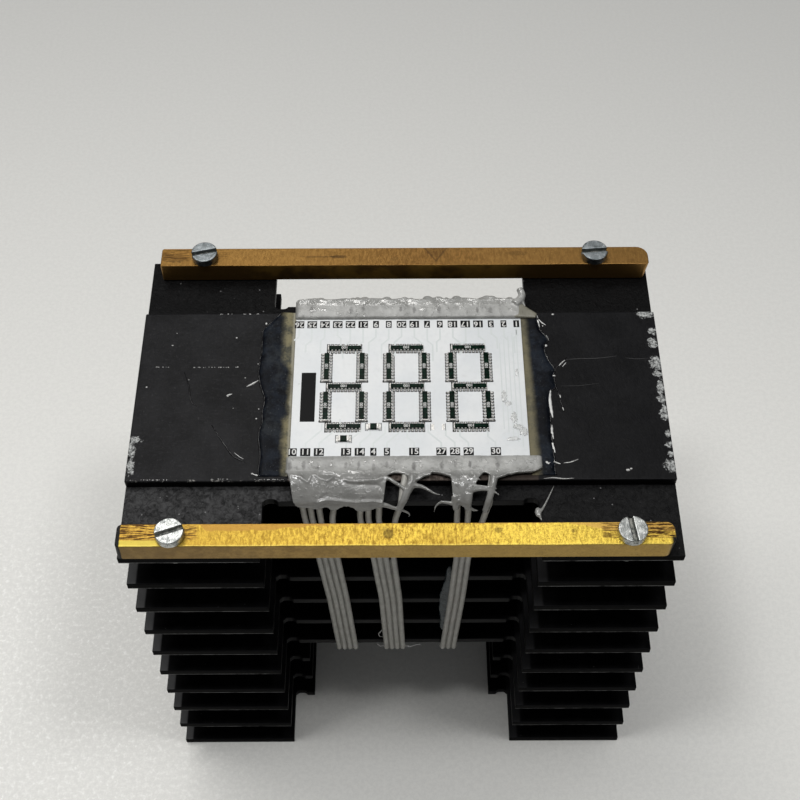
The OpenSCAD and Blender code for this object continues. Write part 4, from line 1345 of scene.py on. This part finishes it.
def wire_route():
    """Depth, height and place-picking share of the points that every wire passes."""
    off = WIRE_R + 0.07
    face = WEB_FRONT - off

    def level(share):
        return ARCH_TOP + share * (FIN_TOP - ARCH_TOP)

    return ([(BOARD_LOW.y + 1.6, SLAB_TOP + 0.25, 1.06), (SLAB_FRONT - 0.2, SLAB_TOP + 0.5, 1.04),
             (SLAB_FRONT - 1.6, SLAB_TOP + 0.15, 1.02), (WEB_FRONT + 0.1, SLAB_TOP - 0.75, 1.01),
             (face - 0.02, FIN_TOP + 0.1, 1)]
            + [(face, level(share), share) for share in (0.97, 0.9, 0.79, 0.68, 0.53, 0.38, 0.19, 0.03)]
            + [(WEB_FRONT - 0.8, ARCH_TOP - 0.2, 0), (WEB_FRONT - 0.2, ARCH_TOP - 0.8, 0),
               (WEB_FRONT + 1.2, ARCH_TOP - off, 0), (WEB_FRONT + 11, ARCH_TOP - off, 0)])


def ribbon(node):
    """Round wires side by side; where they run together a thin web of jacket joins them."""
    bm = bmesh.new()
    route = wire_route()
    lines = []
    for wire in RIBBONS[node]:
        table = list(zip(reversed(WIRE_SHARES), reversed(wire)))
        lines.append(catmull([(lookup(share, table), y, z) for y, z, share in route], 5))
    for line in lines:
        add_tube(bm, line, WIRE_R, 14)
    for a, b in zip(lines, lines[1:]):
        joined = [i for i, (p, q) in enumerate(zip(a, b)) if (p - q).length < 1.5 and p.z < 78]
        if len(joined) > 2:
            add_tube(bm, [(a[i] + b[i]) / 2 for i in joined], 0.1, 6)
    return finish_piece(node + "_wires", bm, "wire", "wire_jacket", node)


# Wisps of silicone at the ribbons' lower ends as (points, radius); a point is x, the distance in front
# of the web and the height over the arch.
RIBBON_WISPS = [
    ([(-5.4, 0.5, 0.9), (-4.6, 0.9, 0.2), (-3.7, 0.6, 0.5), (-3.3, 0.5, 1.4)], 0.12),
    ([(0.6, 0.6, 0.3), (1.8, 0.9, -0.1), (3.2, 0.6, 0.2), (4.4, 0.4, 0.0)], 0.16),
    ([(-4.2, 0.6, 8.0), (-4.9, 0.8, 6.6), (-4.7, 0.8, 5.2), (-4.1, 0.5, 4.4)], 0.1),
    ([(8.4, 0.5, -0.3), (9.6, 0.8, 0.1), (10.8, 0.5, 0.1)], 0.12),
]


def ribbon_wisps():
    """Thin wisps of silicone on and beside the wires."""
    bm = bmesh.new()
    for points, radius in RIBBON_WISPS:
        line = catmull([(x, WEB_FRONT - off, ARCH_TOP + up) for x, off, up in points], 6)
        add_tube(bm, line, radius, 6)
    return finish_piece("ribbon_wisps", bm, "pale_silicone", "silicone")


def glue_pieces():
    """Straps that hold the ribbons' hidden ends, and the smear beside the right-hand ribbon."""
    for node in ("left_tail_glue", "middle_tail_glue", "right_tail_glue"):
        bm = cad_bmesh(node)
        round_edges(bm, width=0.25, segments=3)
        finish_piece(node + "_strap", bm, "silicone", "silicone", node)
    low, high = box_mm("ribbon_glue")
    bm = bmesh.new()
    mid = (low.x + high.x) / 2
    for i in range(13):
        share = i / 12
        z = low.z + 6.5 + (high.z - low.z - 11.5) * share
        width = 0.75 + 0.75 * math.sin(math.pi * share) ** 2 + 0.2 * smooth_noise(z, scale=0.3)
        add_ball(bm, (mid + 1.5 + 0.75 * share, WEB_FRONT - 0.2, z), (width, 0.5, 3.4))
    finish_piece("ribbon_glue_smear", bm, "dark_glue", "silicone", "ribbon_glue", voxel_mm=0.2)


# ---- bars and screws

def rounded_outline(low, high, radii, steps=6):
    """Rectangle with round corners: radii for front left, front right, rear right, rear left."""
    corners = [(low.x, low.y, math.pi), (high.x, low.y, 1.5 * math.pi),
               (high.x, high.y, 0.0), (low.x, high.y, 0.5 * math.pi)]
    out = []
    for (x, y, start), r in zip(corners, radii):
        cx = x + r if x == low.x else x - r
        cy = y + r if y == low.y else y - r
        for i in range(steps + 1):
            a = start + 0.5 * math.pi * i / steps
            out.append(Vector((cx + r * math.cos(a), cy + r * math.sin(a))))
    return out


def clamp_bar(node, key, radii, lean_left, lean_right):
    """A bar with round corners; its ends lean in by lean_left at the top and lean_right at the foot."""
    low, high = box_mm(node)

    def waver(p, front, share):
        on_front = abs(p.y - front) < 0.01
        return 0.07 * share * smooth_noise(p.x, 2, scale=0.16) if on_front else 0.0

    rings = []
    foot = [(low.z, 0.4), (low.z + 0.35, 0.0)]
    head = [(high.z - 0.14, 0.0), (high.z - 0.05, 0.04), (high.z, 0.13)]
    for z, inset in foot + head:
        share = (z - low.z) / (high.z - low.z)
        flat_low = low + Vector((inset + lean_left * share, inset, 0))
        flat_high = high - Vector((inset + lean_right * (1 - share), inset, 0))
        ring = []
        outline = rounded_outline(flat_low, flat_high, [max(0.06, r - inset) for r in radii])
        # Long sides are cut into short lengths, so that the edges can waver.
        for p, q in zip(outline, outline[1:] + outline[:1]):
            parts = 70 if (q - p).length > 50 else 1
            ring += [p.lerp(q, i / parts) for i in range(parts)]
        rings.append([Vector((p.x, p.y + waver(p, flat_low.y, share), z)) for p in ring])
    bm = bmesh.new()
    add_loft(bm, rings)
    return finish_piece(node + "_body", bm, key, "brass", node, smooth=False)


def screw(node):
    """A slotted screw with its edges rounded."""
    bm = cad_bmesh(node)
    round_edges(bm, width=0.2, segments=3)
    return finish_piece(node + "_body", bm, "zinc", "zinc_steel", node, smooth=False)


# ---- loose marks on the slab

def slab_marks():
    """Strings and crumbs of silicone on the slab, and black cracks with a pale lip, their black painted
    shade drawn as tubes.
    """
    bm = bmesh.new()
    z = SLAB_TOP + 0.02

    def hair(points, radius, material):
        def thickness(share):
            swell = 0.35 + 0.65 * math.sin(math.pi * min(max(share, 0.05), 0.95))
            return radius * swell * (1 + 0.5 * smooth_noise(points[0][0], 30 * share))

        first = len(bm.faces)
        line = catmull([(x, y, 0) for x, y in points], 6)
        add_tube(bm, [Vector((p.x, p.y, z)) for p in line], thickness, 6)
        number_faces(bm, first, material)

    for points, radius in HAIRS:
        hair(points, radius, 0 if radius > 0.06 else 2)
    # Painted shade: black tubes for the shade inside the cracks.
    for points, radius in CRACKS:
        hair(points, radius, 1)
    rng = random.Random(11)
    specks = [(x0 + (x1 - x0) * rng.random(), y + 0.1 * rng.random(), 0.06 + 0.07 * rng.random())
              for x0, x1, y, count in CRUMB_LINES for _ in range(count)]
    for x, y, radius in CRUMBS + specks:
        stretch = (0.8 + 0.7 * rng.random(), 0.8 + 0.4 * rng.random(), 0.5)
        add_ball(bm, (x, y, z), stretch, radius, subdivisions=1)
    smears = bmesh.new()
    for x, y, half_x, half_y in BOARD_SMEARS:
        ball = bmesh.ops.create_icosphere(smears, subdivisions=4, radius=1.0)["verts"]
        for v in ball:
            swell = 1 + 0.6 * smooth_noise(v.co.x * 2, v.co.y * 2, x, scale=1.4)
            across, along = v.co.x * half_x * swell, v.co.y * half_y * swell
            v.co = Vector((x + across, y + along, SLAB_TOP + 0.05 * v.co.z))
    finish_piece("board_smears", smears, "smear", "silicone")
    return finish_piece("slab_marks", bm, "pale_silicone rim scratch", "silicone")


# Smears of clear glue on the board's right-hand side, as (x, y, half width, half depth).
BOARD_SMEARS = [
    (19.9, -1.0, 0.5, 1.3), (20.6, -2.6, 0.7, 0.5), (21.6, -5.8, 0.6, 1.1), (22.3, -7.9, 0.9, 0.6),
    (23.3, -9.0, 0.7, 1.0), (21.3, -10.6, 1.2, 0.4), (22.7, 4.6, 0.3, 0.9),
]

# Strings of silicone on the slab as (points, radius): at the left, along the right bank, and beyond it.
HAIRS = [
    ([(-29.6, 1.6), (-28.6, 2.2), (-27.4, 3.1)], 0.2), ([(-33.4, -0.5), (-32.3, -0.1)], 0.16),
    ([(27.4, 18.7), (27.5, 17.2), (27.7, 15.6)], 0.24), ([(27.6, 17.8), (28.3, 16.8), (29.0, 16.2)], 0.14),
    ([(27.8, 15.2), (28.3, 14.1), (29.0, 13.4), (29.4, 12.4)], 0.13),
    ([(28.5, 10.8), (28.5, 9.4), (28.9, 7.8), (29.6, 6.2)], 0.1), ([(28.9, 7.6), (29.4, 6.4)], 0.16),
    ([(28.9, 0.4), (28.6, -1.8), (28.7, -4.2), (28.9, -5.9)], 0.34),
    ([(28.6, -7.6), (28.5, -9.2), (28.7, -10.7)], 0.28),
    ([(28.4, -11.2), (28.5, -12.4), (28.8, -13.8)], 0.26), ([(30.9, 6.2), (31.6, 7.0), (32.2, 7.6)], 0.14),
    ([(31.6, 6.0), (32.4, 7.0)], 0.1), ([(32.4, 7.7), (35.0, 7.9), (38.6, 8.0), (42.4, 8.5)], 0.05),
    ([(44.0, 8.1), (46.0, 7.8), (48.6, 7.9)], 0.035), ([(31.0, 1.4), (34.5, 1.5), (38.4, 2.0)], 0.028),
    ([(30.6, -0.6), (30.7, -1.4)], 0.12), ([(30.9, -3.4), (31.1, -4.3)], 0.12),
    ([(-31.0, -13.4), (-30.0, -14.3), (-29.2, -14.8)], 0.07),
    ([(26.6, -15.0), (27.4, -16.2), (28.4, -15.4)], 0.3),
    ([(27.0, -16.6), (28.2, -15.8), (29.6, -16.2)], 0.22),
    ([(27.2, -14.9), (27.9, -16.2), (27.7, -17.4)], 0.2),
    ([(30.2, -16.0), (31.6, -15.8), (33.0, -15.2)], 0.1),
    ([(26.3, -19.35), (28.0, -19.2), (30.0, -19.4), (31.9, -19.3)], 0.12),
    ([(-27.6, -17.9), (-26.4, -18.4), (-25.2, -18.2)], 0.14),
]
# Black cracks and grooves as (points, radius), drawn as black tubes that stand for the shade inside them,
# and crumbs as (x, y, radius).
CRACKS = [
    ([(-41.9, 5.0), (-40.7, 1.4), (-40.1, -1.6), (-38.9, -2.9)], 0.13),
    ([(-35.7, -7.2), (-33.1, -11.4), (-31.1, -14.2), (-28.9, -15.5)], 0.17),
    ([(30.0, 5.2), (31.2, 6.8), (32.6, 8.3)], 0.16),
    ([(29.8, 1.8), (30.3, 0.2), (30.5, -1.4), (31.2, -4.6)], 0.14),
]
CRUMBS = [
    (-32.3, 13.4, 0.2), (-44.8, 11.6, 0.17), (-44.2, 14.6, 0.1), (-33.1, -0.6, 0.15), (-48.9, 1.6, 0.2),
    (-40.9, 3.3, 0.12), (28.6, 11.1, 0.34), (29.7, 3.8, 0.36), (28.9, 0.9, 0.2), (30.6, 18.9, 0.22),
    (42.0, -17.6, 0.34), (42.6, -17.3, 0.2), (-27.7, 7.0, 0.14), (-27.0, -3.6, 0.14), (-27.4, -18.0, 0.2),
    (-26.6, 16.9, 0.28), (-31.9, -3.4, 0.09), (28.4, 16.0, 0.16),
]
# Rows of specks as (first x, last x, y, how many).
CRUMB_LINES = [
    (-47.6, -44.5, 6.3, 9), (-41.0, -31.6, 6.2, 26), (-36.0, -27.5, 19.3, 16), (-50.0, -43.0, -19.3, 16),
    (-35.6, -31.5, -19.2, 12), (-27.0, -21.5, -19.3, 16),
]


# ---- stage

# Camera: focal length and picture width in pixels, turns in degrees, and place in millimetres.
FOCAL_PX, PICTURE_PX, SENSOR_MM = 1328.0, 800, 36.0
YAW, PITCH, ROLL = 0.04, 55.63, -0.249
CAMERA_PLACE = (-0.16, -145.2, 305.15)


def aim_camera():
    """The camera looks down on the front of the block."""
    camera = bpy.data.objects.new("camera", bpy.data.cameras.new("camera"))
    bpy.context.scene.collection.objects.link(camera)
    camera.data.sensor_width = SENSOR_MM
    camera.data.lens = SENSOR_MM * FOCAL_PX / PICTURE_PX
    yaw, pitch, roll = math.radians(YAW), math.radians(PITCH), math.radians(ROLL)
    forward = Vector((math.sin(yaw) * math.cos(pitch), math.cos(yaw) * math.cos(pitch), -math.sin(pitch)))
    right = Vector((math.cos(yaw), -math.sin(yaw), 0))
    up = right.cross(forward)
    right, up = math.cos(roll) * right + math.sin(roll) * up, -math.sin(roll) * right + math.cos(roll) * up
    turn = Matrix((right, up, -forward)).transposed().to_4x4()
    camera.matrix_world = Matrix.Translation(Vector(CAMERA_PLACE) * MM) @ turn
    camera.data.clip_start = 0.01
    bpy.context.scene.camera = camera


def area_light(name, place_mm, target_mm, size_mm, watts, colour=(1, 1, 1)):
    """A rectangular lamp aimed at a target."""
    lamp = bpy.data.lights.new(name, "AREA")
    lamp.shape = "RECTANGLE"
    lamp.size, lamp.size_y = size_mm[0] * MM, size_mm[1] * MM
    lamp.energy, lamp.color = watts, colour
    light = bpy.data.objects.new(name, lamp)
    light.location = Vector(place_mm) * MM
    aim = (Vector(target_mm) - Vector(place_mm)).normalized()
    light.rotation_mode = "QUATERNION"
    light.rotation_quaternion = aim.to_track_quat("-Z", "Y")
    bpy.context.scene.collection.objects.link(light)


def stage():
    """Pale table, a strip lamp behind, a large soft lamp and two small ones overhead, and a dim world."""
    bm = bmesh.new()
    bmesh.ops.create_grid(bm, x_segments=1, y_segments=1, size=3000)
    table = obj_from_bmesh("table", bm)
    table.location.z = -0.02 * MM
    table.data.materials.append(floor_material())
    world = bpy.data.worlds.new("room")
    world.use_nodes = True
    background = world.node_tree.nodes["Background"]
    background.inputs["Color"].default_value = (0.97, 0.98, 1.0, 1)
    background.inputs["Strength"].default_value = 0.15
    bpy.context.scene.world = world
    area_light("strip_lamp", (-260, 340, 850), (0, 0, 50), (700, 120), 3.2, (1.0, 0.985, 0.96))
    area_light("ceiling_lamp", (20, 120, 900), (0, 20, 50), (900, 600), 2.25)
    area_light("left_lamp", (-240, -90, 950), (0, 0, 50), (130, 130), 1.7)
    area_light("right_lamp", (280, -60, 950), (0, 0, 50), (160, 160), 1.85)
    bpy.context.scene.view_settings.view_transform = "Standard"


# ---- build

aim_camera()
finned_block()
top_slab()
potting()
display_board()
board_print()
board_traces()
MARKS = glyph_mesh("100", 0.86)
for digit in range(1, 4):
    for letter in "abcdefg":
        segment(f"digit_{digit}_segment_{letter}", MARKS)
small_chip("upper_chip")
small_chip("lower_chip")
front_silicone()
rear_silicone()
glue_patches()
for ribbon_node in RIBBONS:
    ribbon(ribbon_node)
glue_pieces()
ribbon_wisps()
clamp_bar("front_clamp_bar", "front_brass", (0.7, 1.5, 1.5, 0.9), 0.25, 0.2)
clamp_bar("rear_clamp_bar", "rear_brass", (0.3, 0.6, 2.3, 0.5), 0.0, 0.6)
for screw_node in ("front_left_screw", "front_right_screw", "rear_left_screw", "rear_right_screw"):
    screw(screw_node)
slab_marks()
stage()
